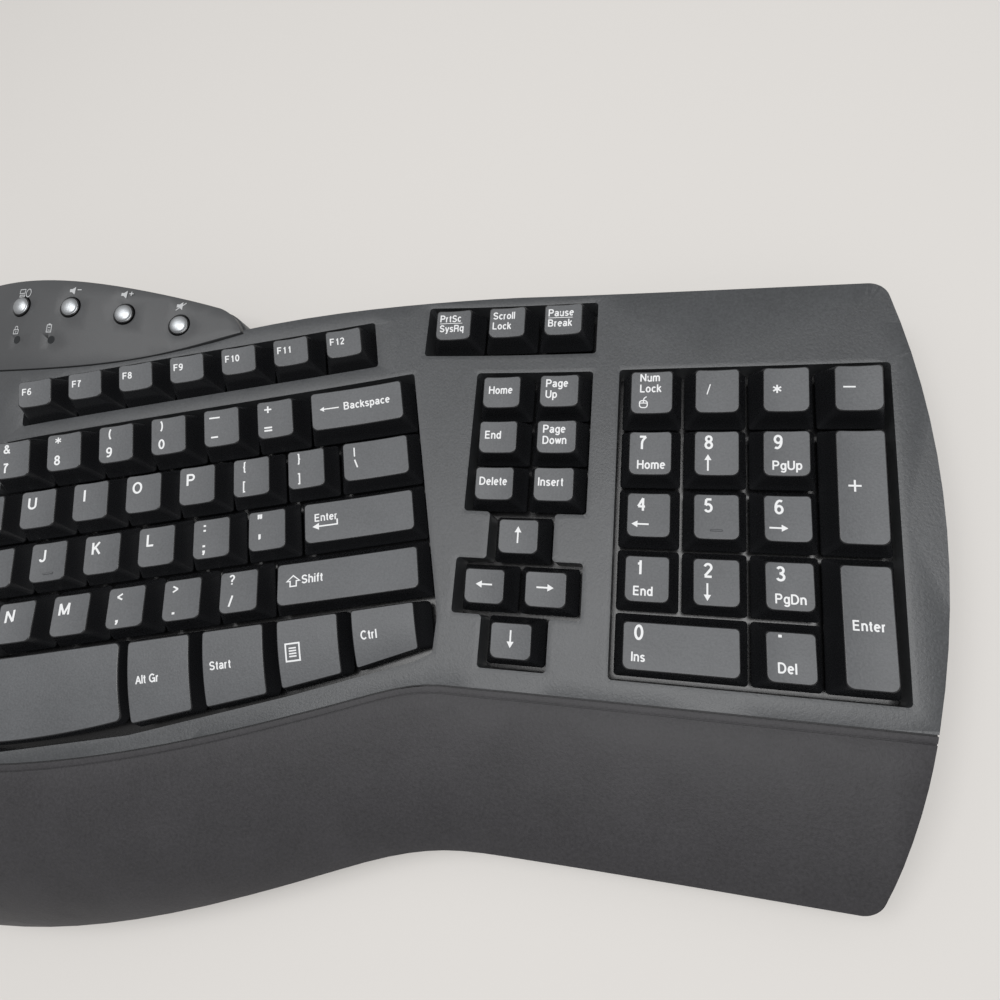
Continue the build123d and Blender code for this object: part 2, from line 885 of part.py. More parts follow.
system_cap = cap(key_side, system_heights, short_depth, short_top_depth)
arrow_cap = cap(key_side, arrow_heights, short_depth, short_top_depth)
spots = [(-system_first + pitch * n, system_line) for n in range(3)]
write(group(pad_block, [(system_cap, spots)]), "keys_system")
spots = [
    (-navigation_mid + pitch * across, navigation_line - short_pitch * down)
    for across in (-half, half)
    for down in range(3)
]
write(group(pad_block, [(system_cap, spots)]), "keys_navigation")
spots = [(-arrow_mid, -arrow_line), (-arrow_mid, -arrow_line - arrow_pitch * 2)]
spots += [(-arrow_mid + pitch * across, -arrow_line - arrow_pitch) for across in (-half, half)]
write(group(pad_block, [(arrow_cap, spots)]), "keys_arrow")


# Front row
def thumb_solid(size, inset, lower):
    """Convex block of one front-row key: its sides drawn in and its top lowered."""
    near, far, near_front, far_front = size
    front = (near_front + far_front) / 2
    middle = thumb_rear + (front - thumb_rear) * thumb_middle_share
    back, ahead = -thumb_rear + thumb_round, -front - thumb_over
    corners = (near, -thumb_rear), (near, -near_front), (far, -far_front), (far, -thumb_rear)
    rear_top, middle_top = (back, thumb_high - lower), (-middle, thumb_middle - lower)
    front_top = (ahead, thumb_low - lower)
    with BuildPart() as solid:
        with BuildSketch() as base:
            with BuildLine():
                Polyline(*corners, close=True)
            make_face()
            if inset:
                offset(amount=-inset, kind=Kind.INTERSECTION)
            else:
                fillet(base.vertices(), thumb_round)
        extrude(amount=thumb_high + wall, taper=degrees(atan(thumb_taper_share)))
        with BuildSketch(Plane.YZ):
            with BuildLine():
                ThreePointArc(rear_top, middle_top, front_top)
                Line(front_top, (ahead, -wall))
                Line((ahead, -wall), (back, -wall))
                Line((back, -wall), rear_top)
            make_face()
        extrude(amount=far + wall, mode=Mode.INTERSECT)
    return solid.part


def thumb_key(plane, size, side):
    """One front-row key on its block's plane."""
    near, far, near_front, far_front = size
    spot = (side * (near + far) / 2, -(thumb_rear * 2 + near_front + far_front) / 4)
    stem_spots.append((plane, spot[0], spot[1]))
    shell = thumb_solid(size, 0, 0)
    hollow = thumb_solid(size, cap_skin, cap_roof - dish_depth)
    with BuildPart() as block:
        add(shell)
        add(hollow, mode=Mode.SUBTRACT)
        if side < 0:
            mirror(about=Plane.YZ, mode=Mode.REPLACE)
        with BuildSketch(Plane.XY.offset(-stem_drop)):
            with Locations(spot):
                Circle(stem_radius)
        extrude(amount=stem_drop + thumb_middle - cap_roof + dish_depth)
        with BuildSketch(Plane.XY.offset(-stem_drop)):
            with Locations(spot):
                Circle(stem_bore)
        extrude(amount=stem_drop + bore_top, mode=Mode.SUBTRACT)
    with BuildPart() as key:
        with Locations(plane.location):
            add(block.part)
    return key


right_names = ("alt_key_right", "start_key_right", "menu_key", "control_key_right")
left_names = ("alt_key_left", "start_key_left", "control_key_left")
for name, size in zip(right_names, right_thumbs):
    write(thumb_key(right_block, size, 1), name)
for name, size in zip(left_names, left_thumbs):
    write(thumb_key(left_block, size, -1), name)


# Space bar
slope_share = (bar_rear[1][1] - bar_rear[0][1]) / (bar_rear[0][0] - bar_rear[1][0])


def bar_form(lower):
    """Solid under the space bar's upper surface, lowered by lower."""
    with BuildPart() as form:
        for share in pod_station_shares:
            x = share * bar_reach
            rear = -bar_rear[-1][1] + slope_share * (sqrt(x**2 + bar_nose**2) - bar_nose)
            front = -bar_front[1][1] + (bar_front[1][1] - bar_front[0][1]) * (x / bar_front[0][0]) ** 2
            middle = rear + (front - rear) * thumb_middle_share
            level = deck_z(x, middle) - lower
            back, ahead = rear + wall, front - wall
            rear_top, front_top = (back, level + bar_high), (ahead, level - bar_low)
            with BuildSketch(cross_plane(x)):
                with BuildLine():
                    ThreePointArc(rear_top, (middle, level + bar_mid_high), front_top)
                    Line(front_top, (ahead, -overrun))
                    Line((ahead, -overrun), (back, -overrun))
                    Line((back, -overrun), rear_top)
                make_face()
        loft()
    return form.part


def bar_block(inset):
    """Upright block over the space bar's plan, drawn in by inset."""
    (rear_x, rear_y), (nose_x, nose_y), (middle, rear_mid) = bar_rear
    (front_x, front_y), (middle, front_mid) = bar_front
    with BuildPart() as block:
        with BuildSketch(ground(bar_start)) as base:
            with BuildLine():
                Line((rear_x, -rear_y), (nose_x, -nose_y))
                ThreePointArc((nose_x, -nose_y), (middle, -rear_mid), (-nose_x, -nose_y))
                Line((-nose_x, -nose_y), (-rear_x, -rear_y))
                Line((-rear_x, -rear_y), (-front_x, -front_y))
                ThreePointArc((-front_x, -front_y), (middle, -front_mid), (front_x, -front_y))
                Line((front_x, -front_y), (rear_x, -rear_y))
            make_face()
            if inset:
                offset(amount=-inset, kind=Kind.INTERSECTION)
            else:
                fillet(base.vertices().filter_by(lambda corner: abs(corner.X) > nose_x * 2), bar_corner)
        extrude(amount=overrun, taper=degrees(atan(bar_taper_share)))
    return block.part


with BuildPart() as bar_hollow:
    add(bar_block(cap_skin))
    add(bar_form(cap_roof - dish_depth), mode=Mode.INTERSECT)

bar_posts = [(-bar_stem_out, -bar_stem_line), (bar_stem_out, -bar_stem_line)]

with BuildPart() as bar_stems:
    add(spot_prism(bar_posts, disc(stem_radius), 0, top_level))
    add(bar_form(cap_roof / 2), mode=Mode.INTERSECT)
    add(body_form(bar_skirt + stem_drop), mode=Mode.SUBTRACT)

with BuildPart() as space_bar:
    add(bar_block(0))
    add(bar_form(0), mode=Mode.INTERSECT)
    add(bar_hollow.part, mode=Mode.SUBTRACT)
    add(body_form(bar_skirt), mode=Mode.SUBTRACT)
    add(bar_stems.part)
write(space_bar, "space_bar")

# Stack under the keys
half_length = right_reach + left_reach


def side_room(side):
    """Upright room of one half, kept clear of the line between the halves."""
    middle = side * (stack_gap / 2 + half_length / 2)
    with BuildPart() as room:
        with BuildSketch(ground(0)):
            with Locations((middle, 0)):
                Rectangle(half_length, half_length * 2)
        extrude(amount=top_level)
    return room.part


stack_room = prism(region_plan(1, wall + stack_gap), floor_top, top_level)


def well_plate(plane, corners, low, high):
    """Plate over one well between two levels, kept inside the case and on its own side."""
    side = 1 if plane is not left_block else -1
    with BuildPart() as plate:
        with BuildSketch(plane.offset(low)):
            add(well_outline(corners, web))
        extrude(amount=high - low)
        add(stack_room, mode=Mode.INTERSECT)
        add(side_room(side), mode=Mode.INTERSECT)
    return plate.part


def sheet(low, high):
    """Plates over all wells between two levels."""
    pieces = [well_plate(plane, corners, low, high) for plane, corners in wells]
    with BuildPart() as plates:
        for piece in pieces:
            add(piece)
    return plates.part


def stack_studs(spots, outline, low, high):
    """Upright studs on the keys' stem spots between two levels."""
    with BuildPart() as solid:
        for plane in (right_block, left_block, pad_block):
            points = [(u, v) for block, u, v in spots if block is plane]
            with BuildSketch(plane.offset(low)):
                with Locations(*points):
                    add(outline)
            extrude(amount=high - low)
    return solid.part


guide_root = frame_drop + frame_thick / 2
clear_spots = [(0, -bar_stem_line), (0, -bar_stem_line - bar_clear / 2)]

with BuildPart() as key_frame:
    add(sheet(-frame_drop - frame_thick, -frame_drop))
    guides = stack_studs(stem_spots, slab(guide_side, guide_side), -guide_root, guide_height - frame_drop)
    add(guides)
    add(stack_studs(stem_spots, disc(guide_bore), -sheet_drop, well_reach), mode=Mode.SUBTRACT)
    add(spot_prism(bar_posts, disc(bar_hole), floor_top, top_level), mode=Mode.SUBTRACT)
    add(spot_prism(clear_spots, slab(bar_clear * 2, bar_clear), floor_top, top_level), mode=Mode.SUBTRACT)
write(key_frame, "key_frame")

with BuildPart() as membranes:
    add(sheet(-sheet_drop - sheet_thick, -sheet_drop))
write(membranes, "membranes")

with BuildPart() as backing_plates:
    add(sheet(-sheet_drop - sheet_thick - plate_thick, -sheet_drop - sheet_thick))
write(backing_plates, "backing_plates")


def dome():
    """Rubber dome on the membrane's plane, its nub reaching into the key's stem."""
    with BuildPart() as piece:
        with BuildSketch():
            Circle(dome_radius)
        with BuildSketch(Plane.XY.offset(dome_shoulder)):
            Circle(dome_neck)
        loft()
        with BuildSketch():
            Circle(dome_nub)
        extrude(amount=dome_height)
    return piece.part


with BuildPart() as rubber_domes:
    for plane in (right_block, left_block, pad_block):
        base = plane.offset(-sheet_drop)
        spots = [(u, v) for block, u, v in stem_spots if block is plane]
        with Locations(*[base.location * Location((u, v, 0)) for u, v in spots]):
            add(dome())
write(rubber_domes, "rubber_domes")

# Bottom case with its pockets
bay_spot = (0, -bay_line)


def box_at(spot, length, width, low, high, corner=0):
    """Upright block at one plan spot."""
    return spot_prism([spot], slab(length, width, corner), low, high)


leg_pocket_length = leg_width + leg_gap * 2
leg_pocket_width = leg_length + leg_barrel * 2 + leg_gap * 4
leg_centres = [(x, y - leg_length / 2 + leg_gap) for x, y in leg_spots]
pocket_room = slab(leg_pocket_length, leg_pocket_width)
pocket_block = slab(leg_pocket_length + wall * 2, leg_pocket_width + web * 2)
door_room = (door_length + door_gap * 2, door_width + door_slide + door_gap * 2)
door_spot = (0, -bay_line + door_slide / 2)
door_level = under + door_thick + door_gap
slot_low = under + tongue_low - tongue_slot
slot_high = under + tongue_low + tongue_thick + tongue_slot
knob_hole = (knob_length + knob_travel + knob_gap * 2, knob_width + knob_gap * 2)
knob_mid = (switch_spot[0] + knob_travel / 2, switch_spot[1])
post_spots = [
    (board_spot[0] + x * (board_length / 2 - post_inset), board_spot[1] + y * (board_width / 2 - post_inset))
    for x in (-1, 1)
    for y in (-1, 1)
]


def pin_bores(radius, length):
    """Cross bores or pins of both tilt legs."""
    with BuildPart() as solid:
        for x, y in leg_spots:
            start = Plane(origin=(x - middle_x - length / 2, y - middle_y, leg_axis), z_dir=(1, 0, 0))
            with BuildSketch(start):
                Circle(radius)
            extrude(amount=length)
    return solid.part


with BuildPart() as bottom_case:
    add(prism(case_outline(reveal), under, part_height))
    add(prism(case_outline(reveal + wall), floor_top, part_height), mode=Mode.SUBTRACT)
    add(box_at(bay_spot, bay_length + web * 2, bay_width + web * 2, under, bay_top + web))
    add(spot_prism(leg_centres, pocket_block, under, pocket_roof + pocket_skin))
    add(box_at(bay_spot, bay_length, bay_width, under, bay_top), mode=Mode.SUBTRACT)
    add(box_at(door_spot, door_room[0], door_room[1], under, door_level), mode=Mode.SUBTRACT)
    slot = slab(door_room[0] + tongue_reach * 2 + door_gap * 2, door_room[1] - web * 2)
    add(spot_prism([door_spot], slot, slot_low, slot_high), mode=Mode.SUBTRACT)
    add(spot_prism(leg_centres, pocket_room, under, pocket_roof), mode=Mode.SUBTRACT)
    add(pin_bores(pin_radius + pin_gap, leg_pocket_length + pin_reach * 2 + pin_gap * 2), mode=Mode.SUBTRACT)
    add(box_at(knob_mid, knob_hole[0], knob_hole[1], under, part_height), mode=Mode.SUBTRACT)
    add(spot_prism(post_spots, disc(post_radius), floor_top, board_level))
    add(spot_prism(screw_spots, disc(screw_radius + screw_gap), under, floor_top), mode=Mode.SUBTRACT)
    sinks = spot_prism(screw_spots, disc(head_radius + head_sink), under, under + head_height + head_sink)
    add(sinks, mode=Mode.SUBTRACT)
write(bottom_case, "bottom_case")

with BuildPart() as case_screws:
    add(spot_prism(screw_spots, disc(head_radius), under + head_sink, under + head_height + head_sink))
    add(spot_prism(screw_spots, disc(screw_radius), under + head_height, screw_top - web / 2))
    slots = spot_prism(screw_spots, slab(head_radius * 3 / 2, slot_width), under, under + slot_depth)
    add(slots, mode=Mode.SUBTRACT)
    slots = spot_prism(screw_spots, slab(slot_width, head_radius * 3 / 2), under, under + slot_depth)
    add(slots, mode=Mode.SUBTRACT)
write(case_screws, "case_screws")

with BuildPart() as rubber_feet:
    add(spot_prism(foot_spots, slab(foot_length, foot_width, foot_round), 0, under))
write(rubber_feet, "rubber_feet")

with BuildPart() as battery_door:
    add(box_at(bay_spot, door_length, door_width, under, under + door_thick, base_round))
    tongue = slab(door_length + tongue_reach * 2, door_width - wall * 2)
    add(spot_prism([bay_spot], tongue, under + tongue_low, under + tongue_low + tongue_thick))
    grips = [(0, -bay_line - door_width / 4 + grip_pitch * n) for n in range(grip_count)]
    add(spot_prism(grips, slab(grip_length, grip_width), under, under + grip_depth), mode=Mode.SUBTRACT)
write(battery_door, "battery_door")

cell_lines = [-bay_line - cell_radius - cell_gap / 2, -bay_line + cell_radius + cell_gap / 2]
cell_height = bay_seat + cell_radius
with BuildPart() as battery_cells:
    for turn, y in zip((1, -1), cell_lines):
        start = Plane(
            origin=(-middle_x - turn * cell_length / 2, y - middle_y, cell_height),
            z_dir=(turn, 0, 0),
        )
        with BuildSketch(start):
            Circle(cell_radius)
        extrude(amount=cell_length)
        with BuildSketch(start.offset(cell_length)):
            Circle(nub_radius)
        extrude(amount=nub_length)
write(battery_cells, "battery_cells")

with BuildPart() as battery_contacts:
    for turn, y in zip((1, -1), cell_lines):
        for end in (1, -1):
            face = end * (bay_length / 2)
            start = Plane(origin=(face - middle_x, y - middle_y, cell_height), z_dir=(-end, 0, 0))
            with BuildSketch(start):
                Rectangle(contact_side, contact_side)
            extrude(amount=contact_thick)
            if end != turn:
                with BuildSketch(start):
                    Circle(spring_radius)
                extrude(amount=contact_thick + spring_length)
write(battery_contacts, "battery_contacts")


def tilt_leg(x, y):
    """Folding leg with its barrel and pins."""
    width = leg_width
    start = Plane(origin=(x - middle_x - width / 2, y - middle_y, leg_axis), x_dir=(0, 1, 0), z_dir=(1, 0, 0))
    with BuildPart() as leg:
        with BuildSketch(start):
            Circle(leg_barrel)
            with Locations((-leg_length / 2, -leg_barrel + leg_thick / 2)):
                Rectangle(leg_length, leg_thick)
        extrude(amount=width)
        tips = leg.edges().filter_by(Axis.X).sort_by(Axis.Y)[:2]
        fillet(tips, leg_tip)
        with BuildSketch(start.offset(-pin_reach)):
            Circle(pin_radius)
        extrude(amount=width + pin_reach * 2)
    return leg


write(tilt_leg(*leg_spots[0]), "tilt_leg_left")
write(tilt_leg(*leg_spots[1]), "tilt_leg_right")

with BuildPart() as power_switch:
    add(box_at(switch_spot, knob_length, knob_width, knob_low, knob_flange_low + knob_flange_thick / 2))
    flange_high = knob_flange_low + knob_flange_thick
    add(box_at(switch_spot, knob_flange, knob_flange_width, knob_flange_low, flange_high))
write(power_switch, "power_switch")

with BuildPart() as controller_board:
    add(box_at(board_spot, board_length, board_width, board_level, board_level + board_thick, board_round))
    high = board_level + board_thick + chip_height
    for x, y, length, width in chip_spots:
        spot = (board_spot[0] + x, board_spot[1] + y)
        add(box_at(spot, length, width, board_level + board_thick / 2, high))
write(controller_board, "controller_board")
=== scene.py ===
import math

import bpy
from mathutils import Matrix, Vector


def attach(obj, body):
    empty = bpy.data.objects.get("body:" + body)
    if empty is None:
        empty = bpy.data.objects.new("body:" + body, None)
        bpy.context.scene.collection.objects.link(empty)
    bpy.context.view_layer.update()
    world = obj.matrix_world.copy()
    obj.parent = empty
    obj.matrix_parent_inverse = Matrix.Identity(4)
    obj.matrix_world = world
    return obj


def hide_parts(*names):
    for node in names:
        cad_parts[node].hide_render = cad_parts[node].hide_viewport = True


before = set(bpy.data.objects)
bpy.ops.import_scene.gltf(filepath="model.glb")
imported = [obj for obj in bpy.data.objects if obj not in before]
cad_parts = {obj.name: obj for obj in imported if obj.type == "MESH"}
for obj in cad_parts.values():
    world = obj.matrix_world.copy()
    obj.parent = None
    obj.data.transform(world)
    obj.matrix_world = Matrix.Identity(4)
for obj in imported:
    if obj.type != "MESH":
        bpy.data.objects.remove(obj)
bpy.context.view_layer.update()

# Driving dimensions in millimetres and degrees; spots are in the drawing frame of the solids
MM = 0.001
PITCH = 19.05
MID_X, MID_Y = 65.2, -71.7
INSET = PITCH / 4
TENT, TURN, PAD_LEAN = 8.4, 12.0, 2.0
HALF_X, HALF_Y, HALF_Z = 20.0, -30.7, 40.15
PAD_X, PAD_Z = 238.0, 16.75


# Planes of the key fields
def tilted(x, y, z, tent=0.0, turn=0.0, lean=0.0):
    """Matrix of a key field's plane around its first spot."""
    turned = Matrix.Rotation(math.radians(turn), 4, "Z")
    tented = Matrix.Rotation(math.radians(tent), 4, "Y")
    leaned = Matrix.Rotation(math.radians(lean), 4, "X")
    return Matrix.Translation(Vector((x - MID_X, y - MID_Y, z))) @ leaned @ tented @ turned


RIGHT = tilted(HALF_X, HALF_Y, HALF_Z, TENT, TURN)
LEFT = tilted(-HALF_X, HALF_Y, HALF_Z, -TENT, -TURN)
PAD = tilted(PAD_X, 0, PAD_Z, lean=PAD_LEAN)
PLAN = tilted(0, 0, 0)

# Materials: the fine noise is the moulded grain, the wide one a faint cloudiness
FINE_DETAIL, FINE_ROUGHNESS, FINE_SHARE = 4, 0.65, 0.7
WIDE_SCALE, WIDE_DETAIL = 55, 3
GLOSS_SPREAD, GRAIN_DEPTH = 0.06, 0.0001
STREAKS, STREAK_DETAIL = (60, 1400, 1400), 4


def new_material(name):
    mat = bpy.data.materials.new(name)
    mat.use_nodes = True
    return mat, mat.node_tree.nodes, mat.node_tree.links, mat.node_tree.nodes["Principled BSDF"]


def noise_node(nodes, links, vector, scale, detail):
    noise = nodes.new("ShaderNodeTexNoise")
    noise.inputs["Scale"].default_value = scale
    noise.inputs["Detail"].default_value = detail
    links.new(vector, noise.inputs["Vector"])
    return noise


def gloss_range(nodes, links, noise, bsdf, rough, spread):
    """Roughness that follows a noise."""
    gloss = nodes.new("ShaderNodeMapRange")
    gloss.inputs["To Min"].default_value = rough - spread
    gloss.inputs["To Max"].default_value = rough + spread
    links.new(noise.outputs["Fac"], gloss.inputs["Value"])
    links.new(gloss.outputs["Result"], bsdf.inputs["Roughness"])


def grain_material(name, color, rough, grain, scale, mottle=0.08, spec=0.5):
    """Moulded plastic: spark-eroded grain, slight mottling of colour and gloss."""
    mat, nodes, links, bsdf = new_material(name)
    spots = nodes.new("ShaderNodeTexCoord").outputs["Object"]
    fine = noise_node(nodes, links, spots, scale, FINE_DETAIL)
    fine.inputs["Roughness"].default_value = FINE_ROUGHNESS
    wide = noise_node(nodes, links, spots, WIDE_SCALE, WIDE_DETAIL)
    wide_part = nodes.new("ShaderNodeMath")
    wide_part.operation = "MULTIPLY"
    wide_part.inputs[1].default_value = 1 - FINE_SHARE
    links.new(wide.outputs["Fac"], wide_part.inputs[0])
    blend = nodes.new("ShaderNodeMath")
    blend.operation = "MULTIPLY_ADD"
    blend.inputs[1].default_value = FINE_SHARE
    links.new(fine.outputs["Fac"], blend.inputs[0])
    links.new(wide_part.outputs[0], blend.inputs[2])
    mix = nodes.new("ShaderNodeMix")
    mix.data_type = "RGBA"
    mix.inputs["A"].default_value = (*[c * (1 - mottle) for c in color], 1)
    mix.inputs["B"].default_value = (*[c * (1 + mottle) for c in color], 1)
    links.new(blend.outputs[0], mix.inputs["Factor"])
    links.new(mix.outputs["Result"], bsdf.inputs["Base Color"])
    gloss_range(nodes, links, fine, bsdf, rough, GLOSS_SPREAD)
    bump = nodes.new("ShaderNodeBump")
    bump.inputs["Strength"].default_value = grain
    bump.inputs["Distance"].default_value = GRAIN_DEPTH
    links.new(fine.outputs["Fac"], bump.inputs["Height"])
    links.new(bump.outputs["Normal"], bsdf.inputs["Normal"])
    bsdf.inputs["Specular IOR Level"].default_value = spec
    return mat


def metal_material(name, color, rough, brushed):
    """Painted or brushed metal with faint streaks."""
    mat, nodes, links, bsdf = new_material(name)
    place = nodes.new("ShaderNodeMapping")
    place.inputs["Scale"].default_value = STREAKS
    links.new(nodes.new("ShaderNodeTexCoord").outputs["Object"], place.inputs["Vector"])
    noise = noise_node(nodes, links, place.outputs["Vector"], 1, STREAK_DETAIL)
    gloss_range(nodes, links, noise, bsdf, rough, brushed)
    bsdf.inputs["Base Color"].default_value = (*color, 1)
    bsdf.inputs["Metallic"].default_value = 1.0
    return mat


case_mat = grain_material("case_texture", (0.053, 0.056, 0.060), 0.40, 1.0, 1250, mottle=0.65)
palm_mat = grain_material("palm_texture", (0.036, 0.035, 0.038), 0.52, 1.0, 1150, mottle=0.75, spec=0.28)
pod_mat = grain_material("pod_satin", (0.055, 0.057, 0.06), 0.42, 0.4, 1800, mottle=0.2)
# Key caps are one plastic in two colours: the tops lighter as painted light, the sides and rounded edges near
# black as painted shade; the tops' grain and the sides' gloss are real
key_top_lit_mat = grain_material("key_top_grain_painted_light", (0.088, 0.092, 0.098), 0.50, 1.0, 1500, mottle=0.6)
key_side_shaded_mat = grain_material("key_side_gloss_painted_shade", (0.012, 0.0125, 0.014), 0.27, 0.08, 1500)
frame_mat = grain_material("frame_black_gloss", (0.008, 0.008, 0.009), 0.22, 0.06, 1500)
base_mat = grain_material("base_black", (0.022, 0.022, 0.024), 0.55, 0.4, 2000)
foot_mat = grain_material("foot_rubber", (0.015, 0.015, 0.015), 0.8, 0.6, 1500)
film_mat = grain_material("film", (0.55, 0.57, 0.57), 0.35, 0.1, 800)
dome_mat = grain_material("silicone", (0.55, 0.55, 0.53), 0.6, 0.2, 900)
board_mat = grain_material("board_mask", (0.02, 0.12, 0.05), 0.35, 0.3, 1200, mottle=0.2)
cell_mat = grain_material("cell_sleeve", (0.06, 0.08, 0.1), 0.3, 0.05, 900)
ink_mat = grain_material("legend_ink", (0.72, 0.73, 0.74), 0.55, 0.25, 3000, mottle=0.05)
fine_ink_mat = grain_material("fine_legend_ink", (0.45, 0.46, 0.47), 0.55, 0.25, 3000, mottle=0.05)
lens_mat = grain_material("lens_dark", (0.01, 0.012, 0.014), 0.12, 0.0, 900)
silver_mat = metal_material("button_silver", (0.48, 0.50, 0.52), 0.42, 0.06)
steel_mat = metal_material("steel", (0.5, 0.5, 0.5), 0.35, 0.1)


# Mesh helpers
def make_object(name, verts, faces, mats, indices=None, smooth=True, normals=None):
    """Mesh object from millimetre vertices; normals holds those that are known."""
    mesh = bpy.data.meshes.new(name)
    mesh.from_pydata([tuple(c * MM for c in v) for v in verts], [], faces)
    for mat in mats:
        mesh.materials.append(mat)
    if indices:
        mesh.polygons.foreach_set("material_index", indices)
    mesh.polygons.foreach_set("use_smooth", [smooth] * len(mesh.polygons))
    mesh.update()
    if normals:
        blank = Vector((0, 0, 0))
        mesh.normals_split_custom_set_from_vertices([normals.get(i, blank) for i in range(len(verts))])
    obj = bpy.data.objects.new(name, mesh)
    bpy.context.collection.objects.link(obj)
    return obj


class Soup:
    """Collects vertices, faces and known normals of one object."""

    def __init__(self):
        self.verts, self.faces, self.marks, self.normals = [], [], [], {}

    def add(self, verts, faces, marks, normals=None):
        base = len(self.verts)
        self.verts.extend(verts)
        self.faces.extend(tuple(i + base for i in f) for f in faces)
        self.marks.extend(marks)
        for i, normal in (normals or {}).items():
            self.normals[base + i] = normal

    def skin(self, matrix, rings, marks, top=None, first=0, close=True):
        """Bands between closed rings of local points, and a fan in the last ring if close is set.
        From ring number first on, normals follow the surface top."""
        count = len(rings[0])
        local = [p for ring in rings for p in ring]
        faces, kinds = [], []
        for r in range(len(rings) - 1):
            for i in range(count):
                j = (i + 1) % count
                faces.append((r * count + i, r * count + j, (r + 1) * count + j, (r + 1) * count + i))
                kinds.append(marks[r])
        if close:
            last = (len(rings) - 1) * count
            x, y, z = [sum(p[k] for p in rings[-1]) / count for k in range(3)]
            local.append((x, y, top(x, y) if top else z))
            for i in range(count):
                faces.append((last + i, last + (i + 1) % count, len(local) - 1))
                kinds.append(marks[-1])
        normals = {}
        if top:
            for i in range(first * count, len(local)):
                normals[i] = facing(matrix, top, local[i][0], local[i][1])
        self.add([tuple(matrix @ Vector(p)) for p in local], faces, kinds, normals)


def facing(matrix, top, x, y):
    """Normal of a height field in the part's frame."""
    step = 0.05
    lean_x = (top(x + step, y) - top(x - step, y)) / (2 * step)
    lean_y = (top(x, y + step) - top(x, y - step)) / (2 * step)
    return (matrix.to_3x3() @ Vector((-lean_x, -lean_y, 1))).normalized()


def rounded_rect(half_x, half_y, radius, shift=0.0, rear=None, arc=7, side=6):
    """Points of a rounded rectangle, counter-clockwise from its right rear corner."""
    points = []
    rear = radius if rear is None else rear
    corners = ((half_x, half_y, 0, rear), (-half_x, half_y, 90, rear))
    corners += ((-half_x, -half_y, 180, radius), (half_x, -half_y, 270, radius))
    for cx, cy, start, bend in corners:
        ox = cx - math.copysign(bend, cx)
        oy = cy - math.copysign(bend, cy)
        for k in range(arc + 1):
            angle = math.radians(start + 90 * k / arc)
            points.append((ox + bend * math.cos(angle), oy + bend * math.sin(angle) + shift))
    dense = []
    for i, point in enumerate(points):
        dense.append(point)
        after = points[(i + 1) % len(points)]
        if (i + 1) % (arc + 1) == 0:
            for k in range(1, side):
                t = k / side
                dense.append((point[0] + (after[0] - point[0]) * t, point[1] + (after[1] - point[1]) * t))
    return dense


# Key caps: gap between neighbours, draft of a side, depth of the dish, rounding of the top's edge
GAP = 0.85
DRAFT = 2.9
DISH = 0.55
EDGE = 0.5
SKIRT, SKIRT_STEP, SKIRT_LIP = 0.5, 0.12, 0.65
BASE_RADIUS, TOP_RADIUS, REAR_RADIUS = 1.0, 2.0, 1.1
TOP_SHIFT = -0.2
ROUND_TURNS, ROUND_REACH, ROUND_SHARE = (20, 40, 60, 78, 90), 3, 0.9
TOP_SHARES = (0.95, 0.88, 0.75, 0.55, 0.3, 0.1)


class Cap:
    """Shape of one dished key cap."""

    def __init__(self, wide, deep, heights, top_deep):
        self.wide, self.deep, self.top_deep = wide, deep, top_deep
        self.front, self.rear = heights
        self.top_wide = wide - DRAFT * 2

    def top(self, x, y):
        """Height of the dished top at a key-local spot."""
        slope = (self.rear - self.front) / self.top_deep
        plane = (self.front + self.rear) / 2 + (y - TOP_SHIFT) * slope
        half = self.top_wide / 2
        return plane - DISH * max(0.0, 1 - (x / half) ** 2)

    def sides(self, top):
        """Rings from the foot to the rounded edge, and the sharp edge's spots under the top."""
        base = rounded_rect(self.wide / 2, self.deep / 2, BASE_RADIUS)
        lip = rounded_rect(self.wide / 2 - SKIRT_STEP, self.deep / 2 - SKIRT_STEP, BASE_RADIUS)
        rings = [[(x, y, 0.0) for x, y in base], [(x, y, SKIRT) for x, y in base]]
        rings.append([(x, y, SKIRT_LIP) for x, y in lip])
        shoulder = []
        for (bx, by), (tx, ty) in zip(lip, top):
            z = self.top(tx, ty)
            t = (z - EDGE) / z
            shoulder.append((bx + (tx - bx) * t, by + (ty - by) * t, z - EDGE))
        for share in (0.5, 1.0):
            ring = []
            for (bx, by), (sx, sy, sz) in zip(lip, shoulder):
                z = SKIRT_LIP + (sz - SKIRT_LIP) * share
                ring.append((bx + (sx - bx) * share, by + (sy - by) * share, z))
            rings.append(ring)
        return rings, shoulder

    def mesh(self, soup, matrix, u, v):
        top = rounded_rect(self.top_wide / 2, self.top_deep / 2, TOP_RADIUS, TOP_SHIFT, REAR_RADIUS)
        rings, shoulder = self.sides(top)
        for angle in ROUND_TURNS:
            turn = math.radians(angle)
            inset, rise = EDGE * (1 - math.cos(turn)) * ROUND_SHARE, EDGE * math.sin(turn)
            ring = []
            for sx, sy, sz in shoulder:
                across = max(-1, min(1, sx / ROUND_REACH))
                along = max(-1, min(1, (sy - TOP_SHIFT) / ROUND_REACH))
                ring.append((sx - across * inset, sy - along * inset, sz + rise))
            rings.append(ring)
        first = len(rings) - 1
        rim = rings[-1]
        rings[-1] = [(x, y, self.top(x, y)) for x, y, z in rim]
        for share in TOP_SHARES:
            ring = []
            for x, y, z in rim:
                px, py = x * share, TOP_SHIFT + (y - TOP_SHIFT) * share
                ring.append((px, py, self.top(px, py)))
            rings.append(ring)
        # Sides and rounded edge take the near-black key side colour as painted shade, the top rings the
        # lighter key top colour as painted light
        marks = [0] * (first - 1) + [1] * (len(rings) - first)
        spot = matrix @ Matrix.Translation(Vector((u, v, 0)))
        soup.skin(spot, rings, marks, self.top, first)


# Four-sided caps of the front row and the space bar
END_CUTS = 4
TILE_COUNTS = (14, 12)
TILE_TURNS = (20, 40, 60, 78)
TILE_MARGIN = 0.4


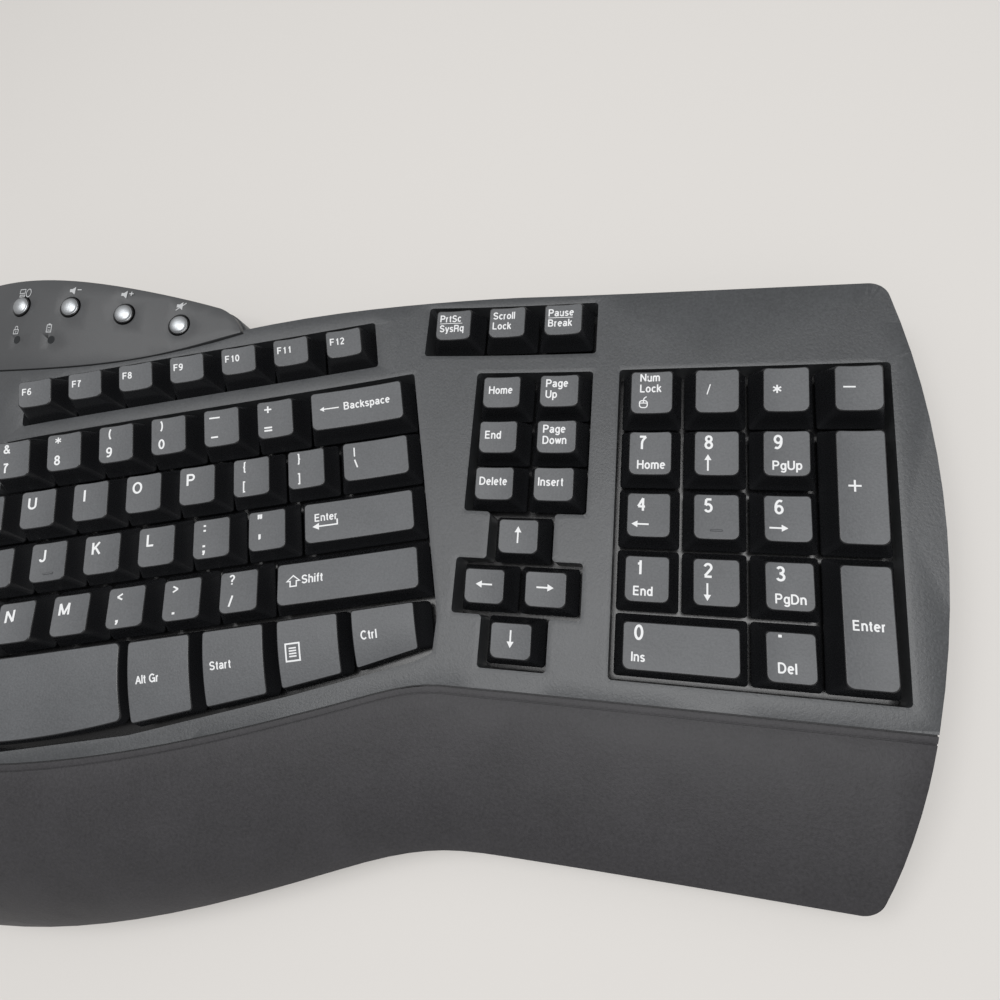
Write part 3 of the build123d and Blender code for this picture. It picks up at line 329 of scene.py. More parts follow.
def cuts(length, radius, count):
    """Shares along a side: dense near its ends, even between them."""
    ends = [radius * k / END_CUTS / length for k in range(END_CUTS)]
    span = 1 - 2 * radius / length
    middle = [radius / length + span * k / count for k in range(count + 1)]
    return ends + middle + [1 - e for e in reversed(ends)]


def border(length, depth, inset, radius, along, across):
    """Closed row of spots round a rectangle with rounded corners, drawn in by inset."""
    wide, deep = length - inset * 2, depth - inset * 2
    spots = [(inset + wide * c, inset, True) for c in along[:-1]]
    spots += [(length - inset, inset + deep * c, False) for c in across[:-1]]
    spots += [(length - inset - wide * c, depth - inset, True) for c in along[:-1]]
    spots += [(inset, depth - inset - deep * c, False) for c in across[:-1]]
    bend = max(0.0, radius - inset)
    out = []
    for x, y, level in spots:
        side_x = 1 if x > length / 2 else -1
        side_y = 1 if y > depth / 2 else -1
        off_x = (length - inset - x) if side_x > 0 else (x - inset)
        off_y = (depth - inset - y) if side_y > 0 else (y - inset)
        if bend and off_x < bend and off_y < bend:
            cx = x + side_x * (off_x - bend)
            cy = y + side_y * (off_y - bend)
            away = off_x if level else off_y
            angle = math.radians(45 * (1 - away / bend))
            one, two = bend * math.sin(angle), bend * math.cos(angle)
            x, y = (cx + side_x * one, cy + side_y * two) if level else (cx + side_x * two, cy + side_y * one)
        out.append((x, y))
    return out


def tile(soup, matrix, patch, length, depth, radius, top, floor, draft, edge, counts=TILE_COUNTS, draw=0.0):
    """Four-sided cap: patch maps flat spots to the plan, top and floor give heights there;
    draw narrows the top further at its far side, or at its near side if it's negative."""
    along, across = cuts(length, radius, counts[0]), cuts(depth, radius, counts[1])
    rings = []

    def drawn(x, y, inset):
        share = x / length if draw > 0 else x / length - 1
        return patch(x - draw * (1 if draw > 0 else -1) * share * min(1.0, inset / draft), y)

    def ring(inset, height):
        spots = [drawn(x, y, inset) for x, y in border(length, depth, inset, radius, along, across)]
        rings.append([(x, y, height(x, y)) for x, y in spots])

    ring(0, floor)
    ring(draft * 0.5, lambda x, y: (floor(x, y) + top(x, y) - edge) / 2)
    ring(draft, lambda x, y: top(x, y) - edge)
    for angle in TILE_TURNS:
        turn = math.radians(angle)
        drop = edge * (1 - math.sin(turn))
        ring(draft + edge * (1 - math.cos(turn)), lambda x, y: top(x, y) - drop)
    ring(draft + edge, top)
    inner = max(radius, draft + edge + TILE_MARGIN)
    ring(inner, top)
    first = len(TILE_TURNS) + 3
    # Sides and rounded edge get mark 0, the near-black colour painted as shade; the top bands get mark 1, the
    # lighter colour painted as light
    soup.skin(matrix, rings, [0] * (first - 1) + [1] * 2, top, first, close=False)
    wide, deep = length - inner * 2, depth - inner * 2
    local = []
    for c in along:
        for d in across:
            x, y = drawn(inner + wide * c, inner + deep * d, inner)
            local.append((x, y, top(x, y)))
    n = len(across)
    faces = []
    for i in range(len(along) - 1):
        for k in range(n - 1):
            faces.append((i * n + k, (i + 1) * n + k, (i + 1) * n + k + 1, i * n + k + 1))
    normals = {i: facing(matrix, top, p[0], p[1]) for i, p in enumerate(local)}
    soup.add([tuple(matrix @ Vector(p)) for p in local], faces, [1] * len(faces), normals)


def rounded_polygon(corners, radius, arc=6, side=8):
    """Counter-clockwise polygon with rounded corners and evenly split sides."""
    arcs = []
    count = len(corners)
    for i, corner in enumerate(corners):
        point = Vector(corner)
        before = (Vector(corners[i - 1]) - point).normalized()
        after = (Vector(corners[(i + 1) % count]) - point).normalized()
        half = before.angle(after) / 2
        reach = radius / math.tan(half)
        centre = point + (before + after).normalized() * radius / math.sin(half)
        first, last = point + before * reach - centre, point + after * reach - centre
        arcs.append([centre + first.lerp(last, k / arc).normalized() * radius for k in range(arc + 1)])
    points = []
    for i, span in enumerate(arcs):
        points.extend(span)
        nxt = arcs[(i + 1) % count][0]
        for k in range(1, side):
            points.append(span[-1].lerp(nxt, k / side))
    return [(p.x, p.y) for p in points]


# Legends
CORNER_STRETCH = 0.5


def stroke(points, width, closed=False):
    """Flat band along a line of points."""
    verts, faces = [], []
    count = len(points)
    for i, (x, y) in enumerate(points):
        if closed:
            ax, ay = points[i - 1]
            bx, by = points[(i + 1) % count]
        else:
            ax, ay = points[max(i - 1, 0)]
            bx, by = points[min(i + 1, count - 1)]
        first = Vector((x - ax, y - ay))
        second = Vector((bx - x, by - y))
        if first.length == 0:
            first = second
        if second.length == 0:
            second = first
        first.normalize()
        second.normalize()
        along = (first + second).normalized()
        scale = 1 / max(CORNER_STRETCH, along.dot(first))
        nx, ny = -along.y * width / 2 * scale, along.x * width / 2 * scale
        verts += [(x + nx, y + ny), (x - nx, y - ny)]
    spans = count if closed else count - 1
    for i in range(spans):
        j = (i + 1) % count
        faces.append((2 * i, 2 * i + 1, 2 * j + 1, 2 * j))
    return verts, faces


# Letter shapes as strokes, in hundredths of the capital height: x,y points, and @x,y,rx,ry,from,to arcs
SHAPES = """
A 68 4,0 34,92 64,0 / 14,33 54,33
B 70 8,0 8,100 / 8,93 36,93 @36,73,20,20,90,-90 8,53 / 36,53 @38,30,22,23,90,-90 8,7
C 74 @39,50,31,43,42,318
D 74 8,0 8,100 / 8,93 32,93 @32,50,34,43,90,-90 8,7
E 66 8,0 8,100 / 8,93 59,93 / 8,52 55,52 / 8,7 60,7
F 60 8,0 8,100 / 8,93 57,93 / 8,50 51,50
G 80 @40,50,32,43,42,325 / 71,0 71,46 42,46
H 72 8,0 8,100 / 64,0 64,100 / 8,53 64,53
I 17 8,0 8,100
J 54 45,100 45,28 @26,28,19,21,0,-172
K 68 8,0 8,100 / 60,100 10,40 / 27,60 65,0
L 58 8,0 8,100 / 8,7 56,7
M 86 8,0 8,94 43,6 78,94 78,0
N 72 8,0 8,94 64,6 64,100
O 80 @40,50,32,43,0,360
P 68 8,0 8,100 / 8,93 38,93 @38,70,22,23,90,-90 8,47
Q 80 @40,50,32,43,0,360 / 48,26 74,2
R 72 8,0 8,100 / 8,93 40,93 @40,71,22,22,90,-90 8,49 / 42,49 @42,35,19,14,90,0 63,0
S 68 @34,72,24,21,18,250 @34,28,26,21,70,-162
T 66 33,0 33,100 / 1,93 65,93
U 72 8,100 8,34 @36,34,28,27,180,360 64,100
V 66 4,100 33,8 62,100
W 94 4,100 25,8 47,92 69,8 90,100
X 66 5,100 61,0 / 61,100 5,0
Y 66 5,100 33,42 61,100 / 33,45 33,0
Z 64 5,93 57,93 7,7 60,7
0 58 @29,50,22,43,0,360
1 58 36,0 36,98 / 36,88 @18,88,18,14,-30,-90
2 58 @29,71,21,22,168,-38 9,12 / 6,7 52,7
3 58 @28,73,19,20,155,-75 / @28,28,22,21,80,-158 / 22,52 32,52
4 58 41,0 41,92 8,31 55,31
5 58 50,93 16,93 11,50 / @28,32,22,26,138,-152
6 58 @29,31,21,25,0,360 / @36,44,28,49,62,195
7 58 6,93 50,93 @60,40,38,48,140,180 22,0
8 58 @29,74,18,19,0,360 / @29,29,21,22,0,360
9 58 @29,69,21,25,0,360 / @22,56,28,49,15,-118
a 56 @27,52,19,15,165,0 46,12 51,3 / 46,42 28,39 @24,23,17,16,100,290 46,26
b 57 7,0 7,100 / @29,37,21,30,0,360
c 51 @28,37,21,30,42,318
d 57 50,0 50,100 / @28,37,21,30,0,360
e 56 8,39 49,39 @28,37,21,30,0,315
f 30 15,0 15,80 @27,80,12,14,180,80 / 1,67 29,67
g 57 @28,37,21,30,0,360 / 50,73 50,-4 @29,-4,21,17,0,-160
h 55 7,0 7,100 / 7,44 @27,44,20,24,180,0 47,0
i 15 7,0 7,73 / 7,86 7,100
k 50 7,0 7,100 / 45,73 8,33 / 20,46 48,0
l 15 7,0 7,100
m 84 7,0 7,73 / 7,46 @24,46,17,22,180,0 41,0 / 41,46 @58,46,18,22,180,0 76,0
n 55 7,0 7,73 / 7,44 @27,44,20,24,180,0 47,0
o 57 @28,37,22,30,0,360
p 57 7,-27 7,73 / @29,37,21,30,0,360
q 57 50,-27 50,73 / @28,37,21,30,0,360
r 34 7,0 7,73 / 7,44 @25,44,18,24,180,85
s 50 @25,53,17,14,20,250 @25,21,18,14,70,-160
t 30 15,92 15,18 @27,18,12,12,180,275 / 1,67 29,67
u 55 7,73 7,28 @27,28,20,22,180,360 / 47,0 47,73
w 70 3,73 19,6 35,68 51,6 67,73
y 50 3,73 25,6 / 47,73 24,-6 @8,-6,16,15,0,-90
& 72 @30,78,15,15,-48,220 66,0 / 38,66 @28,27,22,20,128,322 62,46
* 50 25,50 25,98 / 4,62 46,86 / 4,86 46,62
( 28 @42,37,32,66,122,238
) 28 @-14,37,32,66,58,-58
- 76 4,36 72,36
+ 76 38,-2 38,74 / 0,36 76,36
= 76 0,49 76,49 / 0,19 76,19
{ 34 31,103 19,99 17,86 17,48 5,38 17,28 17,-10 19,-23 31,-27
} 34 3,103 15,99 17,86 17,48 29,38 17,28 17,-10 15,-23 3,-27
[ 30 28,101 9,101 9,-25 28,-25
] 30 2,101 21,101 21,-25 2,-25
| 20 10,-22 10,100
\\ 36 3,100 33,0
/ 36 33,100 3,0
: 24 8,0 8,20 / 16,0 16,20 / 8,52 8,72 / 16,52 16,72
; 24 8,52 8,72 / 16,52 16,72 / 8,0 8,20 / 16,20 16,0 6,-22
" 46 8,50 8,100 / 13,56 13,100 / 33,50 33,100 / 38,56 38,100
' 20 8,50 8,100 / 13,56 13,100
< 60 56,64 6,34 56,4
> 60 4,64 54,34 4,4
, 24 8,0 8,20 / 16,20 16,0 6,-22
. 24 8,0 8,20 / 16,0 16,20
? 54 @27,72,20,21,165,-40 27,42 27,26 / 27,0 27,14
! 16 8,26 8,100 / 8,0 8,14
@ 100 @50,40,42,50,-48,262 / @48,40,15,19,0,360 / 65,60 63,26
# 64 18,0 28,98 / 40,0 50,98 / 3,32 60,32 / 6,64 63,64
$ 66 @33,72,22,20,18,250 @33,28,24,20,70,-162 / 33,-12 33,112
% 94 @20,75,13,19,0,360 / @74,24,13,19,0,360 / 70,98 24,0
^ 50 5,56 25,94 45,56
~ 58 4,30 12,42 22,42 36,30 46,30 54,42
` 30 6,98 20,84
– 112 0,36 112,36
"""


ARC_STEP, ARC_LEAST = 14, 4
SHARP_COSINE = 0.3
LOOP_GAP, LOOP_POINTS = 0.5, 8
HEAVY, SPACE, BLANK, LINE_FEED = 17.0, 12.0, 34, 140
CAPITAL = 100


def shape_strokes(path):
    """Point rows of one letter."""
    rows = []
    for part in path.split(" / "):
        row = []
        for token in part.split():
            if token[0] == "@":
                cx, cy, rx, ry, start, end = [float(v) for v in token[1:].split(",")]
                count = max(ARC_LEAST, int(abs(end - start) / ARC_STEP))
                turns = [math.radians(start + (end - start) * k / count) for k in range(count + 1)]
                row += [(cx + rx * math.cos(a), cy + ry * math.sin(a)) for a in turns]
            else:
                row.append(tuple(float(v) for v in token.split(",")))
        rows.append(row)
    return rows


letters = {}
for line in SHAPES.strip().splitlines():
    mark, width, path = line.split(" ", 2)
    letters[mark] = (float(width), shape_strokes(path))


def split_rows(rows):
    """Breaks point rows at their sharp corners."""
    out = []
    for row in rows:
        start = 0
        for i in range(1, len(row) - 1):
            ax, ay = row[i][0] - row[i - 1][0], row[i][1] - row[i - 1][1]
            bx, by = row[i + 1][0] - row[i][0], row[i + 1][1] - row[i][1]
            dot = ax * bx + ay * by
            if dot < SHARP_COSINE * math.hypot(ax, ay) * math.hypot(bx, by) and abs(dot) > 1:
                out.append(row[start:i + 1])
                start = i
        out.append(row[start:])
    return out


def glyphs(text, size, align="CENTER", heavy=HEAVY, space=SPACE):
    """Flat strokes of a text with capitals size high, on one line or more, around its left end or middle."""
    verts, faces = [], []
    rows = text.split("\n")
    for n, line in enumerate(rows):
        base = (len(rows) - 1) / 2 * LINE_FEED - n * LINE_FEED - CAPITAL / 2
        wide = sum(letters[c][0] + space if c != " " else BLANK for c in line) - space
        at = -wide / 2 if align == "CENTER" else 0
        for c in line:
            if c == " ":
                at += BLANK
                continue
            for row in split_rows(letters[c][1]):
                gap = math.hypot(row[0][0] - row[-1][0], row[0][1] - row[-1][1])
                closed = gap < LOOP_GAP and len(row) > LOOP_POINTS
                band = stroke(row[:-1] if closed else row, heavy, closed)
                first = len(verts)
                verts += [((x + at) * size / CAPITAL, (y + base) * size / CAPITAL) for x, y in band[0]]
                faces += [tuple(i + first for i in f) for f in band[1]]
            at += letters[c][0] + space
    return verts, faces


def solid(points):
    """Filled outline."""
    return list(points), [tuple(range(len(points)))]


def joined(*parts):
    """One flat shape from several."""
    verts, faces = [], []
    for part_verts, part_faces in parts:
        base = len(verts)
        verts += part_verts
        faces += [tuple(i + base for i in f) for f in part_faces]
    return verts, faces


def shifted(part, dx, dy, scale=1.0, turn=0.0):
    """Flat shape moved, scaled and turned."""
    c, s = math.cos(math.radians(turn)), math.sin(math.radians(turn))
    verts = [(dx + (x * c - y * s) * scale, dy + (x * s + y * c) * scale) for x, y in part[0]]
    return verts, part[1]


BARB_SHARE, BACK_SHARE = 0.72, 1.25


def arrow(length, turn=0.0, head=1.0, width=0.34):
    """Arrow around its middle, pointing to +x before it is turned."""
    tip, barb = length / 2, head * BARB_SHARE
    back = tip - head * BACK_SHARE
    shaft = stroke([(-tip, 0), (tip - head, 0)], width)
    parts = joined(shaft, solid([(tip, 0), (back, barb), (back, -barb)]))
    return shifted(parts, 0, 0, 1, turn)


def enter_arrow():
    return joined(
        stroke([(3.0, 1.0), (3.0, -0.35), (-1.6, -0.35)], 0.36),
        solid([(-3.1, -0.35), (-1.5, 0.5), (-1.5, -1.2)]),
    )


def shift_arrow():
    wide, neck, tip, base, step = 2.05, 1.0, 1.85, -1.6, 0.1
    points = [(0, tip), (wide, step), (neck, step), (neck, base), (-neck, base), (-neck, step), (-wide, step)]
    return stroke(points, 0.42, True)


def menu_icon():
    """Sheet with lines; its long sides are split, so that they follow a curved top."""
    half, tall, splits, line = 1.75, 2.1, 10, 0.95
    side = [-tall + tall * 2 * n / splits for n in range(splits + 1)]
    box = [(-0.6, -tall), (0.6, -tall)] + [(half, y) for y in side]
    box += [(0.6, tall), (-0.6, tall)] + [(-half, -y) for y in side]
    rows = [stroke([(-line, y), (0, y), (line, y)], 0.34) for y in (-1.0, -0.33, 0.34, 1.0)]
    return joined(stroke(box, 0.4, True), *rows)


def loop(cx, cy, rx, ry, start=0, end=360, count=20):
    """Points of an ellipse or of an arc of it."""
    step = (end - start) / count
    whole = count if end - start >= 360 else count + 1
    turns = [math.radians(start + step * k) for k in range(whole)]
    return [(cx + rx * math.cos(a), cy + ry * math.sin(a)) for a in turns]


def mouse_icon():
    body = [(-0.9, -1.2), (0.9, -1.2), (0.9, 0.5), (-0.9, 0.5)]
    return joined(
        stroke(rounded_polygon(body, 0.6, 4, 2), 0.26, True),
        stroke([(-0.9, -0.1), (0.9, -0.1)], 0.22),
        stroke([(0, -0.1), (0, 0.5)], 0.22),
        stroke([(0, 0.5), (0.15, 1.1), (0.7, 1.5)], 0.24),
    )


def speaker(extra):
    horn = solid([(-1.5, -0.45), (-0.8, -0.45), (0.1, -1.15), (0.1, 1.15), (-0.8, 0.45), (-1.5, 0.45)])
    marks = [horn]
    if extra in "-+":
        marks.append(stroke([(0.7, 0.3), (1.9, 0.3)], 0.28))
    if extra == "+":
        marks.append(stroke([(1.3, -0.3), (1.3, 0.9)], 0.28))
    if extra == "x":
        marks.append(stroke([(-1.6, -1.3), (1.4, 1.3)], 0.26))
    return joined(*marks)


def screens_icon():
    return joined(
        stroke([(-1.9, 0.1), (-0.2, 0.1), (-0.2, 1.2), (-1.9, 1.2)], 0.22, True),
        stroke([(-1.7, -0.9), (-0.2, -0.9), (-0.2, -0.4), (-1.7, -0.4)], 0.22, True),
        stroke(loop(1.0, 0.1, 0.75, 1.1), 0.22, True),
    )


def lock_icon():
    return joined(
        stroke([(-0.85, -1.1), (0.85, -1.1), (0.85, 0.2), (-0.85, 0.2)], 0.24, True),
        stroke([(-0.5, 0.2), (-0.5, 0.7)] + loop(0, 0.7, 0.5, 0.55, 180, 0, 8) + [(0.5, 0.2)], 0.24),
        solid([(-0.15, -0.7), (0.15, -0.7), (0.15, -0.2), (-0.15, -0.2)]),
    )


def battery_icon():
    return joined(
        stroke([(-0.75, -1.2), (0.75, -1.2), (0.75, 1.0), (-0.75, 1.0)], 0.24, True),
        solid([(-0.35, 1.05), (0.35, 1.05), (0.35, 1.4), (-0.35, 1.4)]),
        stroke([(-0.4, -0.6), (0.4, -0.6)], 0.2),
        stroke([(-0.4, 0.2), (0.4, 0.2)], 0.2),
    )


INK_LIFT = 0.045


def decal(soup, matrix, u, v, part, top, lift=INK_LIFT):
    """Lays a flat shape just above the surface whose heights top gives."""
    verts, faces = part
    points = []
    for x, y in verts:
        points.append(tuple(matrix @ Vector((x + u, y + v, top(x, y) + lift))))
    soup.add(points, faces, [0] * len(faces))


# Key tables: each pair of heights is a top's front and rear edge above its field's plane
UNIT = PITCH - GAP
UNIT_TOP = 13.4
NUM, UP, HOME, LOW = (9.0, 9.5), (7.7, 7.4), (7.3, 6.6), (8.4, 6.7)
FUN, SYS, ARR = (9.4, 10.1), (9.6, 10.2), (9.2, 9.8)
PAD_ROWS = ((10.0, 10.8), (8.6, 9.2), (8.8, 8.1), (9.4, 8.4), (9.3, 8.0))
PLUS, PAD_ENTER = (8.8, 9.2), (9.4, 8.0)
FUN_SIZE, SIDE_SIZE = (15.0, 10.0), (14.7, 10.6)
FUN_START, FUN_LINE = 6.5, 24.3
SYS_START, SYS_LINE = -67.0, 26.7
NAV_MIDDLE, NAV_LINE, NAV_STEP = -38.33, 1.5, 15.5
ARROW_MIDDLE, ARROW_LINE, ARROW_STEP = -38.9, -46.2, 15.8

# Legends are (flat shape, across, ahead) from a key's middle; sizes are those of the capitals
LETTER_SIZE, LETTER_SPOT = 4.1, (-2.5, 2.1)
UPPER_SIZE, UPPER_SPOT = 3.2, (-2.6, 4.0)
LOWER_SIZE, LOWER_SPOT = 3.5, (-2.7, -3.0)
BRACE_SIZE = 2.8
STAR_SIZE, STAR_HEAVY, STAR_AHEAD = 4.6, 9.0, 3.2
WORD_SIZE = 2.5
DIGIT_SIZE, DIGIT_HEAVY, DIGIT_SPOT = 4.2, 16.0, (-2.2, 3.2)
TURN_ARROW, TURN_SPOT = (1.4, 0.5), (-2.4, -3.0)


def letter(text):
    return [(glyphs(text, LETTER_SIZE), *LETTER_SPOT)]


def pair(upper, lower):
    """Shifted sign over the plain one."""
    sign = (glyphs(upper, BRACE_SIZE if upper in "{}" else UPPER_SIZE), *UPPER_SPOT)
    if upper == "*":
        sign = (glyphs(upper, STAR_SIZE, heavy=STAR_HEAVY), UPPER_SPOT[0], STAR_AHEAD)
    return [sign, (glyphs(lower, BRACE_SIZE if upper in "{}" else LOWER_SIZE), *LOWER_SPOT)]


def small(text, dx, dy, size=WORD_SIZE, align="LEFT"):
    return [(glyphs(text, size, align), dx, dy)]


def digit(text, word=None, turn=None):
    """Legends of a number pad key."""
    parts = [(glyphs(text, DIGIT_SIZE, heavy=DIGIT_HEAVY), *DIGIT_SPOT)]
    if word:
        parts += small(word, -3.8, -3.7, 2.7)
    if turn is not None:
        parts += [(arrow(5.0, turn, *TURN_ARROW), *TURN_SPOT)]
    return parts


keys = []


def key(node, plane, u, v, width=1.0, heights=NUM, legends=(), size=(UNIT, UNIT_TOP), bar=False):
    """Notes one key; size is the depth of its foot and of its top."""
    keys.append((node, plane, u, v, width * PITCH - GAP, heights, size, legends, bar))


RIGHT_SIGNS = ("&7", "*8", "(9", ")0", "–-", "+=")
LEFT_SIGNS = ("~`", "!1", "@2", "#3", "$4", "%5", "^6")
RIGHT_ROWS = {
    "number": [(n, pair(a, b), False) for n, (a, b) in enumerate(RIGHT_SIGNS)],
    "upper": [(n - 0.5, letter(c), False) for n, c in enumerate("YUIOP")]
    + [(4.5, pair("{", "["), False), (5.5, pair("}", "]"), False)],
    "home": [(n - 0.25, letter(c), c == "J") for n, c in enumerate("HJKL")]
    + [(3.75, pair(":", ";"), False), (4.75, pair('"', "'"), False)],
    "lower": [(n + 0.25, letter(c), False) for n, c in enumerate("NM")]
    + [(2.25, pair("<", ","), False), (3.25, pair(">", "."), False), (4.25, pair("?", "/"), False)],
}
LEFT_ROWS = {
    "number": [(n - 6, pair(a, b), False) for n, (a, b) in enumerate(LEFT_SIGNS)],
    "upper": [(n - 4.5, letter(c), False) for n, c in enumerate("QWERT")],
    "home": [(n - 4.25, letter(c), c == "F") for n, c in enumerate("ASDFG")],
    "lower": [(n - 3.75, letter(c), False) for n, c in enumerate("ZXCVB")],
}
for half, plane, rows, inset in (("right", RIGHT, RIGHT_ROWS, 0), ("left", LEFT, LEFT_ROWS, INSET)):
    for n, ((name, row), heights) in enumerate(zip(rows.items(), (NUM, UP, HOME, LOW))):
        for position, legends, bar in row:
            u, v = position * PITCH + inset, -PITCH * n
            key(f"keys_{name}_{half}", plane, u, v, 1, heights, legends, bar=bar)

for n in range(7):
    words = small(f"F{n + 6}", -4.9, 0.8)
    key("keys_f_right", RIGHT, FUN_START + PITCH * n, FUN_LINE, 1, FUN, words, FUN_SIZE)
for n in range(5):
    words = small(f"F{5 - n}", -4.9, 0.8)
    key("keys_f_left", LEFT, -FUN_START - PITCH * n, FUN_LINE, 1, FUN, words, FUN_SIZE)
key("escape_key", LEFT, -PITCH * 6 + INSET, FUN_LINE, 1, FUN, small("Esc", -4.9, 0.8), FUN_SIZE)

# Wide keys: node, plane, column and row in pitches, width in pitches, heights, legends
WIDE_KEYS = (
    ("backspace_key", RIGHT, 6.5, 0, 2, NUM,
     [(arrow(6.6, 180, 1.2, 0.42), -9.6, 0.4)] + small("Backspace", -4.6, 0.6, 2.7)),
    ("backslash_key", RIGHT, 6.75, 1, 1.5, UP,
     [(glyphs("|", 2.6), -7.2, 3.4), (glyphs("\\", 2.8), -6.8, -1.0)]),
    ("enter_key", RIGHT, 6.375, 2, 2.25, HOME,
     small("Enter", -14.8, 1.5, 2.6) + [(shifted(enter_arrow(), 0, 0, 1.35), -11.4, -1.0)]),
    ("shift_key_right", RIGHT, 6.125, 3, 2.75, LOW,
     [(shift_arrow(), -17.7, 0.6)] + small("Shift", -15.0, 0.9, 2.8)),
    ("tab_key", LEFT, -5.75, 1, 1.5, UP, small("Tab", -9.6, 2.8, 2.7)),
    ("caps_lock_key", LEFT, -5.625, 2, 1.75, HOME, small("Caps Lock", -12, 2.8, 2.6)),
    ("shift_key_left", LEFT, -5.375, 3, 2.25, LOW,
     [(shift_arrow(), -15.2, 0.4)] + small("Shift", -12.8, 0.8, 2.8)),
)
for node, plane, column, row, width, heights, legends in WIDE_KEYS:
    inset = INSET if plane is LEFT else 0
    key(node, plane, PITCH * column + inset, -PITCH * row, width, heights, legends)

# Number pad
PAD_SIGNS = (
    small("Num\nLock", -3.5, 2.9) + [(shifted(mouse_icon(), 0, 0, 1.3), -2.4, -3.4)],
    [(glyphs("/", 3.2, heavy=10), -2.4, 0.4)],
    [(glyphs("*", 5.2, heavy=9), -2.4, -1.2)],
    [(glyphs("–", 2.9, heavy=16), -2.4, 0.6)],
)
PAD_DIGITS = {
    (0, 1): digit("7", "Home"), (1, 1): digit("8", turn=90), (2, 1): digit("9", "PgUp"),
    (0, 2): digit("4", turn=180), (1, 2): digit("5"), (2, 2): digit("6", turn=0),
    (0, 3): digit("1", "End"), (1, 3): digit("2", turn=270), (2, 3): digit("3", "PgDn"),
    (2, 4): [(glyphs(".", 3.6), -2.6, 6.8)] + small("Del", -3.4, -3.0, 2.8),
}
MIDDLE_DIGIT = (1, 2)
ZERO_WORDS = [(glyphs("0", 4.3, heavy=DIGIT_HEAVY), -11.4, 3.6)] + small("Ins", -13.3, -3.2, 2.6)
TALL = (PITCH * 2 - GAP, PITCH * 2 - GAP - UNIT + UNIT_TOP)
for n, legends in enumerate(PAD_SIGNS):
    key("keys_pad_top", PAD, PITCH * n, 0, 1, PAD_ROWS[0], legends)
for (col, row), legends in PAD_DIGITS.items():
    u, v = PITCH * col, -PITCH * row
    key("keys_pad_digits", PAD, u, v, 1, PAD_ROWS[row], legends, bar=(col, row) == MIDDLE_DIGIT)
key("pad_zero_key", PAD, PITCH / 2, -PITCH * 4, 2, PAD_ROWS[4], ZERO_WORDS)
key("pad_plus_key", PAD, PITCH * 3, -PITCH * 1.5, 1, PLUS, [(glyphs("+", 4.4, heavy=12), -1.8, 0.6)], TALL)
key("pad_enter_key", PAD, PITCH * 3, -PITCH * 3.5, 1, PAD_ENTER, [(glyphs("Enter", 2.7), 0, 0.0)], TALL)

# System, navigation and arrow keys
for n, (upper, lower) in enumerate((("PrtSc", "SysRq"), ("Scroll", "Lock"), ("Pause", "Break"))):
    marks = small(upper, -5.0, 2.3) + small(lower, -5.0, -1.3)
    if n != 1:
        marks.append((stroke([(-5.0, 0.45), (3.0, 0.45)], 0.22), 0, 0.0))
    key("keys_system", PAD, SYS_START + PITCH * n, SYS_LINE, 1, SYS, marks, SIDE_SIZE)
for col, words in enumerate((("Home", "End", "Delete"), ("Page\nUp", "Page\nDown", "Insert"))):
    for row, text in enumerate(words):
        marks = small(text, -4.9 if len(text) == 6 else -4.4, 0.6, 2.6)
        u, v = NAV_MIDDLE + PITCH * (col - 0.5), NAV_LINE - NAV_STEP * row
        key("keys_navigation", PAD, u, v, 1, SYS, marks, SIDE_SIZE)
for column, row, turn in ((0, 0, 90), (0, 2, 270), (-0.5, 1, 180), (0.5, 1, 0)):
    marks = [(arrow(5.2, turn, 1.5, 0.5), -0.2, 0.4)]
    u, v = ARROW_MIDDLE + PITCH * column, ARROW_LINE - ARROW_STEP * row
    key("keys_arrow", PAD, u, v, 1, ARR, marks, SIDE_SIZE)

# Finger bar of J, F and 5: half length, half depth and lift of its rings
BAR_RINGS = ((1.8, 0.33, -0.1), (1.75, 0.3, 0.22), (1.5, 0.12, 0.34))
BAR_AHEAD, BAR_ROUND = -4.2, 0.95
soups, ink = {}, {}
for node, plane, u, v, wide, heights, (deep, top_deep), legends, bar in keys:
    cap = Cap(wide, deep, heights, top_deep)
    cap.mesh(soups.setdefault(node, Soup()), plane, u, v)
    for part, dx, dy in legends:
        decal(ink.setdefault(node, Soup()), plane, u, v, shifted(part, dx, dy), cap.top)
    if bar:
        rings = []
        for half_x, half_y, lift in BAR_RINGS:
            shape = rounded_rect(half_x, half_y, half_y * BAR_ROUND, BAR_AHEAD, arc=5, side=2)
            rings.append([(x, y, cap.top(x, y) + lift) for x, y in shape])
        soups[node].skin(plane @ Matrix.Translation(Vector((u, v, 0))), rings, [1, 1, 1])

# Front row: side of the keyboard, near and far side, reach of the front at both, narrowing of the lit face
THUMBS = {
    "alt_key_right": (1, 42.8, 66.7, 95.2, 92.9, 1.4),
    "start_key_right": (1, 67.5, 90.9, 93.0, 90.8, 1.4),
    "menu_key": (1, 91.9, 115.0, 90.3, 87.3, 1.4),
    "control_key_right": (1, 116.0, 141.2, 86.9, 82.2, 3.2),
    "alt_key_left": (-1, 42.8, 65.6, 95.2, 92.9, 1.4),
    "start_key_left": (-1, 66.4, 90.0, 92.8, 90.4, 1.4),
    "control_key_left": (-1, 91.0, 117.4, 90.2, 84.4, 1.4),
}
THUMB_WORDS = {
    "alt_key_right": [(glyphs("Alt Gr", 2.6, space=8), -4.2, 0.0)],
    "start_key_right": [(glyphs("Start", 2.6), -4.8, 0.2)],
    "menu_key": [(shifted(menu_icon(), 0, 0, 1.25), -5.6, -0.4)],
    "control_key_right": [(glyphs("Ctrl", 2.7), -6.4, -0.2)],
    "alt_key_left": [(glyphs("Alt", 2.7), -2.3, -1.2)],
    "start_key_left": [(glyphs("Start", 2.7), -4.2, -0.6)],
    "control_key_left": [(glyphs("Ctrl", 2.7), -5.6, 2.6)],
}
THUMB_REAR, THUMB_DEEP, THUMB_RADIUS = 67.4, 25.0, 2.2
